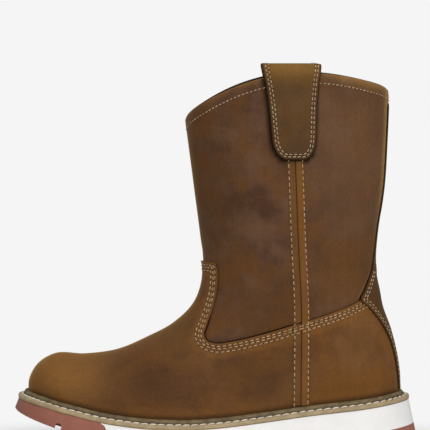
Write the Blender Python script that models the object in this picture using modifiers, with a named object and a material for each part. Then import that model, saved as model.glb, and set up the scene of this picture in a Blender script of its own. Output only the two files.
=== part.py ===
"""Pull-on wellington work boot, left foot, standing on its sole.

The toe points along -X, the outer side of the foot faces -Y, and the floor is z = 0.
Every size below is in millimetres, and MM turns it into Blender's metres.
"""

import math
from collections import namedtuple

import bmesh
import bpy
import numpy as np

MM = 0.001

# Walls and gaps
WALL = 2.2
OVERLAY = 1.1
STAY_THICKNESS = 1.0
SEAM_THICKNESS = 0.8
STRAP_THICKNESS = 2.3
GAP = 0.3
OVERLAY_TOP = GAP + OVERLAY

# How finely the upper is divided
POINTS_A_SIDE = 22
SECTIONS_A_ROW = 1.75

# Sections of the upper, from the feather edge at the sole up to the collar. Each one leaves the front
# outline at front_x, front_z and meets the back outline at back_x, back_z. The rounds are the radii of
# the section's two ends, bed is its share of the sole's hollow and collar its share of the collar's form:
# it rises at the sides and dips a little at the very front and back, which rounds its corners.
Section = namedtuple("Section", "front_x front_z back_x back_z front_round back_round bed collar")
SECTIONS = [
    Section(-143.4, 34.0, 141.4, 34.7, 31.0, 40.0, 1.00, 0.00),
    Section(-143.5, 50.2, 141.6, 43.5, 31.0, 40.0, 0.88, 0.00),
    Section(-137.6, 60.7, 141.4, 49.0, 31.0, 40.0, 0.76, 0.00),
    Section(-125.9, 68.1, 141.2, 54.0, 31.0, 40.0, 0.64, 0.00),
    Section(-101.5, 68.4, 140.6, 60.0, 36.0, 41.0, 0.50, 0.00),
    Section(-76.2, 72.1, 139.4, 68.0, 42.0, 42.0, 0.36, 0.00),
    Section(-51.2, 82.7, 137.2, 78.2, 47.0, 44.0, 0.22, 0.00),
    Section(-32.2, 93.1, 134.1, 89.5, 50.0, 48.0, 0.10, 0.00),
    Section(-14.7, 111.1, 127.7, 107.5, 53.0, 54.0, 0.00, 0.00),
    Section(-8.8, 130.2, 124.7, 127.5, 58.0, 60.0, 0.00, 0.00),
    Section(-9.3, 145.0, 123.6, 145.0, 62.0, 64.0, 0.00, 0.02),
    Section(-11.4, 162.5, 124.9, 163.5, 66.0, 66.0, 0.00, 0.10),
    Section(-15.9, 197.0, 130.2, 200.0, 72.0, 72.0, 0.00, 0.35),
    Section(-20.2, 230.0, 132.5, 238.0, 76.0, 76.0, 0.00, 0.70),
    Section(-23.6, 255.3, 134.0, 276.9, 78.0, 78.0, 0.00, 1.00),
]
ROUND_POWER = 2.1
COLLAR_RISE_FRONT = 24.3
COLLAR_RISE_BACK = 18.7
COLLAR_DIP_FRONT = 3.6
COLLAR_DIP_BACK = 2.6
COLLAR_DIP_SHARE = 0.012

# Half widths of the foot at stations along its length, and the sideways swing of its centre line to the
# big toe.
Station = namedtuple("Station", "x outer inner swing")
FOOT = [
    Station(-144.0, 34.5, 34.5, 10.0),
    Station(-124.0, 40.0, 41.0, 9.0),
    Station(-102.0, 43.5, 44.5, 7.0),
    Station(-66.0, 47.0, 47.0, 4.0),
    Station(-30.0, 46.5, 42.0, 2.0),
    Station(20.0, 38.5, 34.5, 0.8),
    Station(60.0, 34.8, 32.2, 0.0),
    Station(112.0, 33.2, 33.2, 0.0),
    Station(145.0, 33.0, 33.0, 0.0),
]

# Half widths of the shaft by height. Foot and shaft blend between the two heights below.
Girth = namedtuple("Girth", "z half")
SHAFT = [
    Girth(70.0, 36.5), Girth(125.0, 37.0), Girth(160.0, 39.0), Girth(200.0, 42.5), Girth(300.0, 46.5),
]
BLEND_FROM = 70.0
BLEND_TO = 132.0

# Bed of the shoe, on which upper, welt and insole stand, and the underside of the sole.
Height = namedtuple("Height", "x z")
BED = [
    Height(-156.0, 36.2), Height(-135.0, 32.6), Height(-113.0, 27.4), Height(-81.0, 20.6),
    Height(-45.0, 16.8), Height(-22.0, 16.3), Height(5.0, 17.6), Height(31.0, 20.5),
    Height(73.0, 26.2), Height(115.0, 31.0), Height(156.0, 36.8),
]
TREAD = [
    Height(-158.0, 27.7), Height(-143.0, 22.8), Height(-124.0, 17.2), Height(-105.0, 11.2),
    Height(-85.0, 5.6), Height(-66.0, 1.6), Height(-50.0, 0.0), Height(0.0, 0.0), Height(18.0, 2.2),
    Height(40.0, 4.6), Height(58.0, 3.0), Height(72.0, 0.0), Height(158.0, 0.0),
]

# Edge of the sole, measured out from the upper's wall
WELT_REACH = 9.4
MIDSOLE_REACH = 9.0
BED_GAP = 0.5
TREAD_BEVEL = 1.2
Flare = namedtuple("Flare", "x out")
FLARE = [
    Flare(-156.0, 3.0), Flare(-125.0, 2.0), Flare(20.0, 1.8), Flare(105.0, 2.6), Flare(150.0, 7.5),
]

# Welt's cross section: distance out from the upper's wall and height over the bed, round from its inner
# foot.
Corner = namedtuple("Corner", "out up")
WELT = [
    Corner(OVERLAY_TOP + GAP, 0.0), Corner(WELT_REACH, 0.0), Corner(WELT_REACH, 2.9),
    Corner(WELT_REACH - 0.5, 3.4), Corner(5.4, 4.1), Corner(4.2, 6.6), Corner(3.4, 7.3),
    Corner(OVERLAY_TOP + GAP, 7.5),
]
WELT_HEIGHT = max(corner.up for corner in WELT)
INSOLE_THICKNESS = 4.0
INSOLE_CLEARANCE = 1.2

# Line where the white wedge meets the red rubber, from the back of the toe bumper to the heel.
PARTING = [
    Height(-88.5, 30.0), Height(-87.2, 21.4), Height(-84.6, 19.6), Height(-83.2, 17.0),
    Height(-82.0, 14.2), Height(-79.0, 11.6), Height(-73.0, 10.1), Height(-55.0, 9.5),
    Height(50.0, 9.5), Height(100.0, 11.2), Height(128.0, 14.0), Height(170.0, 20.2),
]
GROOVE_WIDTH = 4.8
GROOVE_DEPTH = 4.6
GROOVE_ROUND = 1.2
TOE_NOTCH = -120.7
NOTCH_END = 20.0
FOREFOOT_GROOVES = [-98.0, -76.0, -54.0, -32.0, -10.0]
HEEL_GROOVES = [86.0, 106.0, 126.0]

# Side outlines of the lapped pieces. The side seam parts them.
Spot = namedtuple("Spot", "x z")
VAMP_EDGE = [
    Spot(0.4, 142.3), Spot(1.9, 138.0), Spot(2.3, 130.6), Spot(1.3, 119.6), Spot(-2.0, 106.6),
    Spot(-6.7, 94.0), Spot(-8.6, 87.6), Spot(-6.0, 83.0), Spot(0.6, 81.1), Spot(12.3, 82.4),
    Spot(28.0, 85.8), Spot(46.0, 90.6),
]
COUNTER_EDGE = [Spot(88.0, 103.8), Spot(102.0, 108.8), Spot(114.0, 114.2), Spot(170.0, 115.0)]
SEAM_LINE = [
    Spot(61.0, 230.0), Spot(63.7, 162.0), Spot(66.4, 99.5), Spot(66.2, 60.0), Spot(65.6, 0.0),
]
SEAM_TOP_Z = 96.9
SEAM_LAP_Z = 99.6
SEAM_HALF = 6.4
SEAM_CLEARANCE = 0.3
LAPPED_SECTIONS = 11.5

# Back stay: half width by height, a kite over the heel and then a straight strip up to the collar. Its
# inner face steps from the counter down to the bare shaft.
StayRow = namedtuple("StayRow", "z half")
BACK_STAY = [
    StayRow(44.2, 8.0), StayRow(54.0, 9.2), StayRow(62.0, 9.9), StayRow(72.0, 10.2),
    StayRow(81.0, 11.3), StayRow(91.0, 14.1), StayRow(98.0, 16.3), StayRow(104.0, 19.1),
    StayRow(109.5, 22.4), StayRow(112.5, 24.6), StayRow(114.5, 25.1), StayRow(117.0, 24.4),
    StayRow(120.5, 22.4), StayRow(125.0, 20.0), StayRow(128.5, 17.9), StayRow(132.5, 15.1),
    StayRow(137.0, 12.1), StayRow(144.0, 9.3), StayRow(152.0, 7.4), StayRow(160.0, 6.1),
    StayRow(170.0, 5.3),
]
STAY_STRAIGHT_Z = 182.0
STAY_TOP_Z = 273.2
STAY_HALF = 5.0
BACK_STAY += [StayRow(z, STAY_HALF) for z in np.linspace(STAY_STRAIGHT_Z, STAY_TOP_Z, 9)]
COUNTER_BACK_Z = 115.5
STAY_LAP_STEP = 9.0
SEAM_LAP_STEP = 3.0
STAY_COLUMNS = 9
STAY_LIFT = 0.2
STAY_SEARCH_DEPTH = 30.0
STAY_SEARCH_STEPS = 241

# Pull strap: a band folded over the collar. off is the distance of its inner face from the shaft's outer
# face.
StrapRow = namedtuple("StrapRow", "z off half")
PULL_STRAP = [
    StrapRow(223.3, 0.3, 8.0), StrapRow(224.4, 0.3, 10.3), StrapRow(227.2, 0.3, 13.1),
    StrapRow(231.0, 0.35, 15.3), StrapRow(235.5, 0.4, 16.5), StrapRow(241.0, 0.4, 17.0),
    StrapRow(254.0, 0.5, 17.8), StrapRow(268.0, 0.8, 18.7), StrapRow(276.0, 1.2, 19.6),
    StrapRow(283.2, 1.8, 20.5), StrapRow(287.8, 2.1, 21.2), StrapRow(291.0, 1.4, 21.9),
    StrapRow(293.2, -0.2, 22.5), StrapRow(293.5, -1.9, 22.5), StrapRow(292.2, -3.7, 22.2),
    StrapRow(288.8, -4.7, 21.4), StrapRow(282.0, -4.2, 20.4), StrapRow(268.0, -3.2, 18.8),
    StrapRow(250.0, -2.7, 17.7), StrapRow(238.0, -2.6, 17.0),
]
STRAP_TOP_X = 58.4
STRAP_LEAN = -0.0387
STRAP_TOP_Z = 295.0
STRAP_COLUMNS = 5

# Cutters reach past the boot on every side
CUTTER_HALF_DEPTH = 90.0
CUTTER_TOE_X = -190.0
CUTTER_HEEL_X = 170.0
CUTTER_TOP_Z = 60.0
CUTTER_FLOOR_Z = -20.0
GROOVE_CUTTER_FOOT = -6.0

SHARP_ANGLE = math.radians(40)

LEATHER_BROWN = (0.118, 0.053, 0.019, 1.0)
SEAM_BROWN = (0.165, 0.076, 0.024, 1.0)
STRAP_BROWN = (0.125, 0.062, 0.024, 1.0)
WELT_TAN = (0.36, 0.28, 0.16, 1.0)
WEDGE_WHITE = (0.87, 0.86, 0.84, 1.0)
BRICK_RED = (0.29, 0.115, 0.072, 1.0)
FOOTBED_TAN = (0.42, 0.31, 0.19, 1.0)


# Smooth tables
def column(rows, name):
    return np.array([getattr(row, name) for row in rows])


def smooth(knots, values, at):
    """Cubic curve through the values that keeps flat stretches flat and never overshoots."""
    steps = np.diff(knots)
    slopes = np.diff(values) / steps
    before, after = slopes[:-1], slopes[1:]
    same_way = before * after > 0
    bends = np.zeros(len(knots))
    bends[1:-1][same_way] = 2 * before[same_way] * after[same_way] / (before + after)[same_way]
    bends[0], bends[-1] = slopes[0], slopes[-1]
    at = np.clip(at, knots[0], knots[-1])
    i = np.clip(np.searchsorted(knots, at) - 1, 0, len(steps) - 1)
    h = steps[i]
    u = (at - knots[i]) / h
    ends = values[i] * (1 + 2 * u) * (1 - u) ** 2 + values[i + 1] * u**2 * (3 - 2 * u)
    return ends + h * bends[i] * u * (1 - u) ** 2 + h * bends[i + 1] * u**2 * (u - 1)


def by_x(rows, name, x):
    return smooth(column(rows, "x"), column(rows, name), x)


def flowing(rows, names, counts):
    """Smooth curve through the rows, paced by the distance between them: counts points to each span."""
    knots = np.array([[getattr(row, name) for name in names] for row in rows])
    pace = np.linalg.norm(np.diff(knots[:, :2], axis=0), axis=1)[:, None]
    slopes = np.diff(knots, axis=0) / pace
    bends = np.vstack([slopes[:1], slopes, slopes[-1:]])
    weights = np.vstack([pace[:1], pace, pace[-1:]])
    bends = (bends[:-1] * weights[1:] + bends[1:] * weights[:-1]) / (weights[1:] + weights[:-1])
    at = np.linspace(0, len(rows) - 1, round((len(rows) - 1) * counts) + 1)
    i = np.minimum(at.astype(int), len(rows) - 2)
    u = (at - i)[:, None]
    ends = knots[i] * (1 + 2 * u) * (1 - u) ** 2 + knots[i + 1] * u**2 * (3 - 2 * u)
    return ends + pace[i] * (bends[i] * u * (1 - u) ** 2 + bends[i + 1] * u**2 * (u - 1))


def ease(value, low, high):
    u = np.clip((value - low) / (high - low), 0, 1)
    return u * u * (3 - 2 * u)


# The upper's own function
def outline(end):
    """Front or back outline of the upper in the side view, run on past the collar: x, z and round."""
    line = flowing(SECTIONS, [f"{end}_x", f"{end}_z", f"{end}_round"], 12)
    above = 2 * line[-1] - line[-4]
    below = line[0] + [0, -SECTIONS[0].front_z, 0]
    return np.vstack([below, line, line[-1] + 12 * (above - line[-1])])


def roundness(x, z, line):
    """From 0 on the outline to 1 at its round's distance inside it."""
    start, run = line[:-1, :2], np.diff(line[:, :2], axis=0)
    to = np.stack([x, z], -1)[..., None, :] - start
    along = np.clip((to * run).sum(-1) / (run**2).sum(-1), 0, 1)
    distance = np.linalg.norm(to - along[..., None] * run, axis=-1)
    nearest = distance.argmin(-1)[..., None]
    distance = np.take_along_axis(distance, nearest, -1)[..., 0]
    share = np.take_along_axis(along, nearest, -1)[..., 0]
    low, high = line[nearest[..., 0], 2], line[nearest[..., 0] + 1, 2]
    reach = np.clip(distance / (low + (high - low) * share), 0, 1)
    return (1 - (1 - reach) ** ROUND_POWER) ** (1 / ROUND_POWER)


FRONT_LINE = outline("front")
BACK_LINE = outline("back")


def outline_x(line, z):
    return np.interp(z, line[:, 1], line[:, 0])


def half_widths(x, z):
    """Outer and inner half widths of the upper at a spot of the side view, and its centre line's swing."""
    ends = roundness(x, z, FRONT_LINE) * roundness(x, z, BACK_LINE)
    to_shaft = ease(z, BLEND_FROM, BLEND_TO)
    shaft = smooth(column(SHAFT, "z"), column(SHAFT, "half"), z)
    outer = by_x(FOOT, "outer", x) * (1 - to_shaft) + shaft * to_shaft
    inner = by_x(FOOT, "inner", x) * (1 - to_shaft) + shaft * to_shaft
    return outer * ends, inner * ends, by_x(FOOT, "swing", x) * (1 - to_shaft)


def wall_spot(x, z, side):
    """Point of the upper's outer face at a spot of the side view. The outer side is -1, the inner +1."""
    outer, inner, swing = half_widths(x, z)
    return np.stack([x, swing + np.where(side < 0, -outer, inner), z], -1)


def turns():
    """Angles round a section: back, outer side, front, inner side."""
    return np.linspace(0, 2 * math.pi, 2 * POINTS_A_SIDE, endpoint=False)


def upper_grid(top=len(SECTIONS) - 1):
    """Points of the upper's outer face, one row for each section from the feather edge to number top."""
    names = Section._fields
    rows = flowing(SECTIONS, names, SECTIONS_A_ROW)
    keep = np.linspace(0, len(SECTIONS) - 1, len(rows)) <= top
    at = {name: rows[keep, i][:, None] for i, name in enumerate(names)}
    angle = turns()[None, :]
    to_back = (1 + np.cos(angle)) / 2
    x = at["front_x"] + (at["back_x"] - at["front_x"]) * to_back
    z = at["front_z"] + (at["back_z"] - at["front_z"]) * to_back
    toe_bed, heel_bed = by_x(BED, "z", at["front_x"]), by_x(BED, "z", at["back_x"])
    z = z + at["bed"] * (by_x(BED, "z", x) - toe_bed - (heel_bed - toe_bed) * to_back)
    rise = COLLAR_RISE_FRONT + (COLLAR_RISE_BACK - COLLAR_RISE_FRONT) * to_back
    dip = COLLAR_DIP_FRONT * np.exp(-to_back / COLLAR_DIP_SHARE)
    dip = at["collar"] * (dip + COLLAR_DIP_BACK * np.exp((to_back - 1) / COLLAR_DIP_SHARE))
    z = z + at["collar"] * rise * np.sin(angle) ** 2 - dip
    for line, end_z, share in ((FRONT_LINE, at["front_z"], 1 - to_back), (BACK_LINE, at["back_z"], to_back)):
        x = x + share * (outline_x(line, end_z - dip) - outline_x(line, end_z))
    return wall_spot(x, z, np.where(angle < math.pi, -1, 1))


def grid_normals(grid):
    """Outward directions of a grid that closes on itself round the section."""
    around = np.roll(grid, -1, 1) - np.roll(grid, 1, 1)
    up = np.gradient(grid, axis=0)
    out = np.cross(up, around)
    return out / np.linalg.norm(out, axis=-1, keepdims=True)


def spot_normals(x, z, side):
    """Outward directions of the upper's outer face at spots of the side view."""
    reach = 1.0
    along = wall_spot(x + reach, z, side) - wall_spot(x - reach, z, side)
    up = wall_spot(x, z + reach, side) - wall_spot(x, z - reach, side)
    out = np.cross(along, up) * np.where(np.asarray(side) < 0, 1, -1)[..., None]
    return out / np.linalg.norm(out, axis=-1, keepdims=True)


def seat_loop(out, up):
    """Closed loop round the foot at a distance out from the upper's wall and a height over the bed."""
    angle = turns()
    to_back = (1 + np.cos(angle)) / 2
    level = SECTIONS[0].front_z + WELT_HEIGHT
    front, back = (np.interp(level, line[:, 1], line[:, 0]) for line in (FRONT_LINE, BACK_LINE))
    x = front + (back - front) * to_back
    plan = wall_spot(x, by_x(BED, "z", x) + WELT_HEIGHT, np.where(angle < math.pi, -1, 1))
    run = np.roll(plan, -1, 0) - np.roll(plan, 1, 0)
    away = np.stack([-run[:, 1], run[:, 0], 0 * angle], -1)
    away /= np.linalg.norm(away, axis=1, keepdims=True)
    loop = plan + away * np.reshape(out, (-1, 1))
    loop[:, 2] = by_x(BED, "z", loop[:, 0]) + up
    return loop


# Making objects
def clear_scene():
    for thing in list(bpy.data.objects):
        bpy.data.objects.remove(thing)


def finish_of(name, colour, roughness):
    material = bpy.data.materials.new(name)
    material.use_nodes = True
    shader = material.node_tree.nodes["Principled BSDF"]
    shader.inputs["Base Color"].default_value = colour
    shader.inputs["Roughness"].default_value = roughness
    shader.inputs["Metallic"].default_value = 0.0
    return material


def solid(name, points, faces, material, home):
    """Mesh object from points in millimetres, shaded smooth but for its sharp edges."""
    mesh = bpy.data.meshes.new(name)
    mesh.from_pydata((np.asarray(points).reshape(-1, 3) * MM).tolist(), [], faces)
    mesh.materials.append(material)
    mesh.shade_smooth()
    mesh.set_sharp_from_angle(angle=SHARP_ANGLE)
    thing = bpy.data.objects.new(name, mesh)
    home.collection.objects.link(thing)
    thing.parent = home.stand
    return thing


def helper(thing, home):
    """Keeps a cutter out of the finished object."""
    home.collection.objects.unlink(thing)
    home.cutters.objects.link(thing)
    thing.hide_render = True
    thing.display_type = "WIRE"
    return thing


def sheet_faces(rows, columns, closed):
    """Four-sided faces of a grid, joined round each row if it is closed."""
    faces = []
    for row in range(rows - 1):
        for c in range(columns if closed else columns - 1):
            after = (c + 1) % columns
            low, high = row * columns, (row + 1) * columns
            faces.append((low + c, low + after, high + after, high + c))
    return faces


def thicken(thing, thickness, outward):
    wall = thing.modifiers.new("Wall", "SOLIDIFY")
    wall.thickness = thickness * MM
    wall.offset = 1 if outward else -1
    wall.use_even_offset = True
    return thing


def cut(thing, operation, other):
    """Boolean with a cutter."""
    change = thing.modifiers.new(operation.title(), "BOOLEAN")
    change.operation = operation
    change.object = other
    return thing


def point_outward(thing):
    """Turns the faces of a closed mesh outwards."""
    shape = bmesh.new()
    shape.from_mesh(thing.data)
    bmesh.ops.recalc_face_normals(shape, faces=shape.faces)
    shape.to_mesh(thing.data)
    shape.free()
    return thing


def side_prism(name, spots, home, material, near=-CUTTER_HALF_DEPTH, far=CUTTER_HALF_DEPTH):
    """Cutter with an outline in the side view, run through the boot from its near to its far side."""
    shape = bmesh.new()
    ring = [shape.verts.new((x * MM, near * MM, z * MM)) for x, z in spots]
    side = shape.faces.new(ring)
    swept = bmesh.ops.extrude_face_region(shape, geom=[side])
    moved = [part for part in swept["geom"] if isinstance(part, bmesh.types.BMVert)]
    bmesh.ops.translate(shape, verts=moved, vec=(0, (far - near) * MM, 0))
    bmesh.ops.recalc_face_normals(shape, faces=shape.faces)
    mesh = bpy.data.meshes.new(name)
    shape.to_mesh(mesh)
    shape.free()
    mesh.materials.append(material)
    thing = bpy.data.objects.new(name, mesh)
    home.collection.objects.link(thing)
    thing.parent = home.stand
    return helper(thing, home)


def ring_solid(name, loops, material, home):
    """Closed ring from loops round the foot, which follow its cross section."""
    points = np.concatenate(loops)
    faces = sheet_faces(len(loops) + 1, len(loops[0]), True)
    faces = [tuple(i % len(points) for i in face) for face in faces]
    return point_outward(solid(name, points, faces, material, home))


def layer_solid(name, loops, material, home):
    """Closed layer from loops stacked upwards, its top and bottom laid across the foot."""
    count = len(loops[0])
    faces = sheet_faces(len(loops), count, True)
    for base, flip in ((0, True), ((len(loops) - 1) * count, False)):
        for i in range(count // 2):
            near, next_near = base + i, base + i + 1
            far, next_far = base + (-i) % count, base + (-i - 1) % count
            face = list(dict.fromkeys((near, next_near, next_far, far)))
            faces.append(tuple(reversed(face)) if flip else tuple(face))
    return point_outward(solid(name, np.concatenate(loops), faces, material, home))


# The upper and what is lapped over it
def make_upper(leather, home):
    grid = upper_grid()
    faces = sheet_faces(*grid.shape[:2], True)
    faces = [tuple(reversed(face)) for face in faces]
    return thicken(solid("upper", grid, faces, leather, home), WALL, False)


def make_lapped(name, spots, leather, home):
    """Lapped piece: a second form over the upper's own, cut to an outline in the side view."""
    grid = upper_grid(LAPPED_SECTIONS)
    grid = grid + grid_normals(grid) * GAP
    grid[0, :, 2] += BED_GAP
    faces = [tuple(reversed(face)) for face in sheet_faces(*grid.shape[:2], True)]
    piece = thicken(solid(name, grid, faces, leather, home), OVERLAY, True)
    return cut(piece, "INTERSECT", side_prism(f"{name}_outline", spots, home, leather))


def seam_x(z):
    line = SEAM_LINE[::-1]
    return smooth(column(line, "z"), column(line, "x"), np.asarray(z, float))


def make_vamp(leather, home):
    edge = flowing(VAMP_EDGE, Spot._fields, 3)
    seam_z = np.array([SEAM_TOP_Z, 80.0, 60.0, 30.0, 0.0])
    seam = np.stack([seam_x(seam_z) - SEAM_CLEARANCE, seam_z], -1)
    front = [[CUTTER_TOE_X, 0], [CUTTER_TOE_X, VAMP_EDGE[0].z]]
    return make_lapped("vamp", np.vstack([edge, seam, front]), leather, home)


def make_counter(leather, home):
    edge = flowing(COUNTER_EDGE, Spot._fields, 3)
    seam_z = np.array([0.0, 30.0, 60.0, 80.0, SEAM_TOP_Z])
    seam = np.stack([seam_x(seam_z) + SEAM_CLEARANCE, seam_z], -1)
    return make_lapped("counter", np.vstack([seam, edge, [[CUTTER_HEEL_X, 0]]]), leather, home)


def lap_offset(z, lap_z, step):
    """Height of a strip's inner face over the upper: on a lapped piece up to lap_z, then down a step."""
    return GAP + OVERLAY_TOP * (1 - ease(z, lap_z + GAP, lap_z + GAP + step))


def make_side_seam(name, side, leather, home):
    """Raised strip down one side, from the pull strap to the welt."""
    strap_end = PULL_STRAP[0].z - 2 * GAP
    welt_top = by_x(BED, "z", seam_x(30.0) + SEAM_HALF) + WELT_HEIGHT + GAP
    low = np.linspace(welt_top, SEAM_LAP_Z + GAP, 8)
    lap = SEAM_LAP_Z + GAP + SEAM_LAP_STEP * np.array([0.35, 0.65, 1.0])
    z = np.concatenate([low, lap, np.linspace(lap[-1] + 8, strap_end, 10)])[:, None]
    across = np.linspace(-SEAM_HALF, SEAM_HALF, 3)[None, :]
    x, z = seam_x(z) + across, z + 0 * across
    side = np.full(x.shape, side)
    lift = lap_offset(z, SEAM_LAP_Z, SEAM_LAP_STEP)
    strip = wall_spot(x, z, side) + spot_normals(x, z, side) * lift[..., None]
    faces = sheet_faces(*x.shape, False)
    if side[0, 0] > 0:
        faces = [tuple(reversed(face)) for face in faces]
    return thicken(solid(name, strip, faces, leather, home), SEAM_THICKNESS, True)


def make_back_stay(leather, home):
    """Strip over the back seam, as wide as its table says, laid on the upper's own rows."""
    back_z = BACK_LINE[:, 1]
    strip = []
    for z, half in BACK_STAY:
        across = np.linspace(-half, half, STAY_COLUMNS)
        back_x = np.interp(z, back_z, BACK_LINE[:, 0])
        inward = np.linspace(0, STAY_SEARCH_DEPTH, STAY_SEARCH_STEPS)
        x = back_x - inward
        outer, inner, swing = half_widths(x, np.full_like(x, z))
        outer_depth = np.interp(-across, outer - swing, inward)
        inner_depth = np.interp(across, inner + swing, inward)
        depth = np.where(across < 0, outer_depth, inner_depth)
        strip.append(np.stack([back_x - depth, across, np.full_like(across, z)], -1))
    strip = np.array(strip)
    along = np.gradient(strip, axis=1)
    up = np.gradient(strip, axis=0)
    out = np.cross(along, up)
    out /= np.linalg.norm(out, axis=-1, keepdims=True)
    lift = STAY_LIFT + lap_offset(strip[..., 2], COUNTER_BACK_Z, STAY_LAP_STEP)
    strip = strip + out * lift[..., None]
    faces = sheet_faces(*strip.shape[:2], False)
    return thicken(solid("back_stay", strip, faces, leather, home), STAY_THICKNESS, True)


def make_pull_strap(name, side, leather, home):
    """Band that starts on the outside of the shaft, folds over the collar and ends inside."""
    z, off, half = (column(PULL_STRAP, name)[:, None] for name in StrapRow._fields)
    share = np.linspace(-1, 1, STRAP_COLUMNS)[None, :]
    x = STRAP_TOP_X + STRAP_LEAN * (z - STRAP_TOP_Z) + half * share
    z = z + 0 * share
    side = np.full(x.shape, side)
    flat = spot_normals(x, z, side)
    flat[..., 2] = 0
    flat /= np.linalg.norm(flat, axis=-1, keepdims=True)
    strip = wall_spot(x, z, side) + flat * off[..., None]
    faces = sheet_faces(*x.shape, False)
    if side[0, 0] > 0:
        faces = [tuple(reversed(face)) for face in faces]
    return thicken(solid(name, strip, faces, leather, home), STRAP_THICKNESS, True)


# The bottom of the boot
def make_welt(material, home):
    return ring_solid("welt", [seat_loop(corner.out, corner.up) for corner in WELT], material, home)


def make_insole(material, home):
    inside = -(WALL + INSOLE_CLEARANCE)
    loops = [seat_loop(inside, up) for up in (0.0, INSOLE_THICKNESS)]
    return layer_solid("insole", loops, material, home)


def sole_loops():
    """Rim of the tread, the wall's foot just over it, and the top of the sole's side wall."""
    top = seat_loop(MIDSOLE_REACH, -BED_GAP)
    flare = by_x(FLARE, "out", top[:, 0])
    foot = seat_loop(MIDSOLE_REACH + flare, 0)
    foot[:, 2] = by_x(TREAD, "z", foot[:, 0]) + TREAD_BEVEL
    tread = seat_loop(MIDSOLE_REACH + flare - TREAD_BEVEL, 0)
    tread[:, 2] = by_x(TREAD, "z", tread[:, 0])
    return [tread, foot, top]


def make_midsole(material, home):
    wedge = layer_solid("midsole", sole_loops(), material, home)
    line = flowing(PARTING, Height._fields, 3)
    over = [[PARTING[-1].x, CUTTER_TOP_Z], [PARTING[0].x, CUTTER_TOP_Z]]
    upward = np.vstack([line + GAP / 2, over])
    return cut(wedge, "INTERSECT", side_prism("midsole_outline", upward, home, material))


def groove_cutter(x, home, material, *reach_across):
    """Bar across the sole, square to the tread where it lies, with its roof rounded off."""
    reach = 2.0
    rise = by_x(TREAD, "z", x + reach) - by_x(TREAD, "z", x - reach)
    along = np.array([2 * reach, rise]) / math.hypot(2 * reach, rise)
    upward = np.array([-along[1], along[0]])
    foot = np.array([x, float(by_x(TREAD, "z", x))])
    half, roof = GROOVE_WIDTH / 2, GROOVE_WIDTH / 2 - GROOVE_ROUND
    wall_top = GROOVE_DEPTH - GROOVE_ROUND
    section = [(-half, GROOVE_CUTTER_FOOT), (half, GROOVE_CUTTER_FOOT), (half, wall_top)]
    section += [(roof, GROOVE_DEPTH), (-roof, GROOVE_DEPTH), (-half, wall_top)]
    spots = [foot + along * a + upward * b for a, b in section]
    return side_prism(f"groove_{x:.0f}", spots, home, material, *reach_across)


def make_outsole(material, home):
    rubber = layer_solid("outsole", sole_loops(), material, home)
    line = flowing(PARTING, Height._fields, 3)
    under = [[PARTING[-1].x, CUTTER_FLOOR_Z], [CUTTER_TOE_X, CUTTER_FLOOR_Z]]
    toe = [[CUTTER_TOE_X, CUTTER_TOP_Z], [PARTING[0].x, CUTTER_TOP_Z]]
    downward = np.vstack([line - GAP / 2, under, toe])
    cut(rubber, "INTERSECT", side_prism("outsole_outline", downward, home, material))
    for x in FOREFOOT_GROOVES + HEEL_GROOVES:
        cut(rubber, "DIFFERENCE", groove_cutter(x, home, material))
    for near, far in ((-CUTTER_HALF_DEPTH, -NOTCH_END), (NOTCH_END, CUTTER_HALF_DEPTH)):
        cut(rubber, "DIFFERENCE", groove_cutter(TOE_NOTCH, home, material, near, far))
    return rubber


def stand_at_origin():
    """Empty that carries the pieces, moved so that the sole is centred on the origin."""
    foot = sole_loops()[1]
    middle = (foot.min(0) + foot.max(0)) / 2
    stand = bpy.data.objects.new("boot_stand", None)
    stand.location = (-middle[0] * MM, -middle[1] * MM, 0)
    return stand


Home = namedtuple("Home", "collection cutters stand")


def main():
    clear_scene()
    boot = bpy.data.collections.new("Wellington work boot")
    cutters = bpy.data.collections.new("Cutters")
    for collection in (boot, cutters):
        bpy.context.scene.collection.children.link(collection)
    home = Home(boot, cutters, stand_at_origin())
    boot.objects.link(home.stand)

    leather = finish_of("Brown leather", LEATHER_BROWN, 0.55)
    seam_leather = finish_of("Seam leather", SEAM_BROWN, 0.5)
    strap_leather = finish_of("Strap leather", STRAP_BROWN, 0.55)
    welting = finish_of("Welt", WELT_TAN, 0.6)
    wedge = finish_of("White wedge", WEDGE_WHITE, 0.5)
    rubber = finish_of("Red rubber", BRICK_RED, 0.6)
    footbed = finish_of("Footbed", FOOTBED_TAN, 0.8)

    make_upper(leather, home)
    make_vamp(leather, home)
    make_counter(leather, home)
    make_back_stay(leather, home)
    for name, side in (("outer", -1), ("inner", 1)):
        make_side_seam(f"side_seam_{name}", side, seam_leather, home)
        make_pull_strap(f"pull_strap_{name}", side, strap_leather, home)
    make_welt(welting, home)
    make_midsole(wedge, home)
    make_outsole(rubber, home)
    make_insole(footbed, home)


main()
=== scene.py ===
# %% [markdown]
# # A pull-on wellington work boot
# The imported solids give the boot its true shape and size. This lesson dresses them: every leather piece is
# built again, finer, from the same table of sections, then gets its cut edges, its stitches and its finish.
# All sizes are in millimetres as a shoemaker writes them, and turn into metres in one place.

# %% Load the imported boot
import math
from collections import namedtuple

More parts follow.
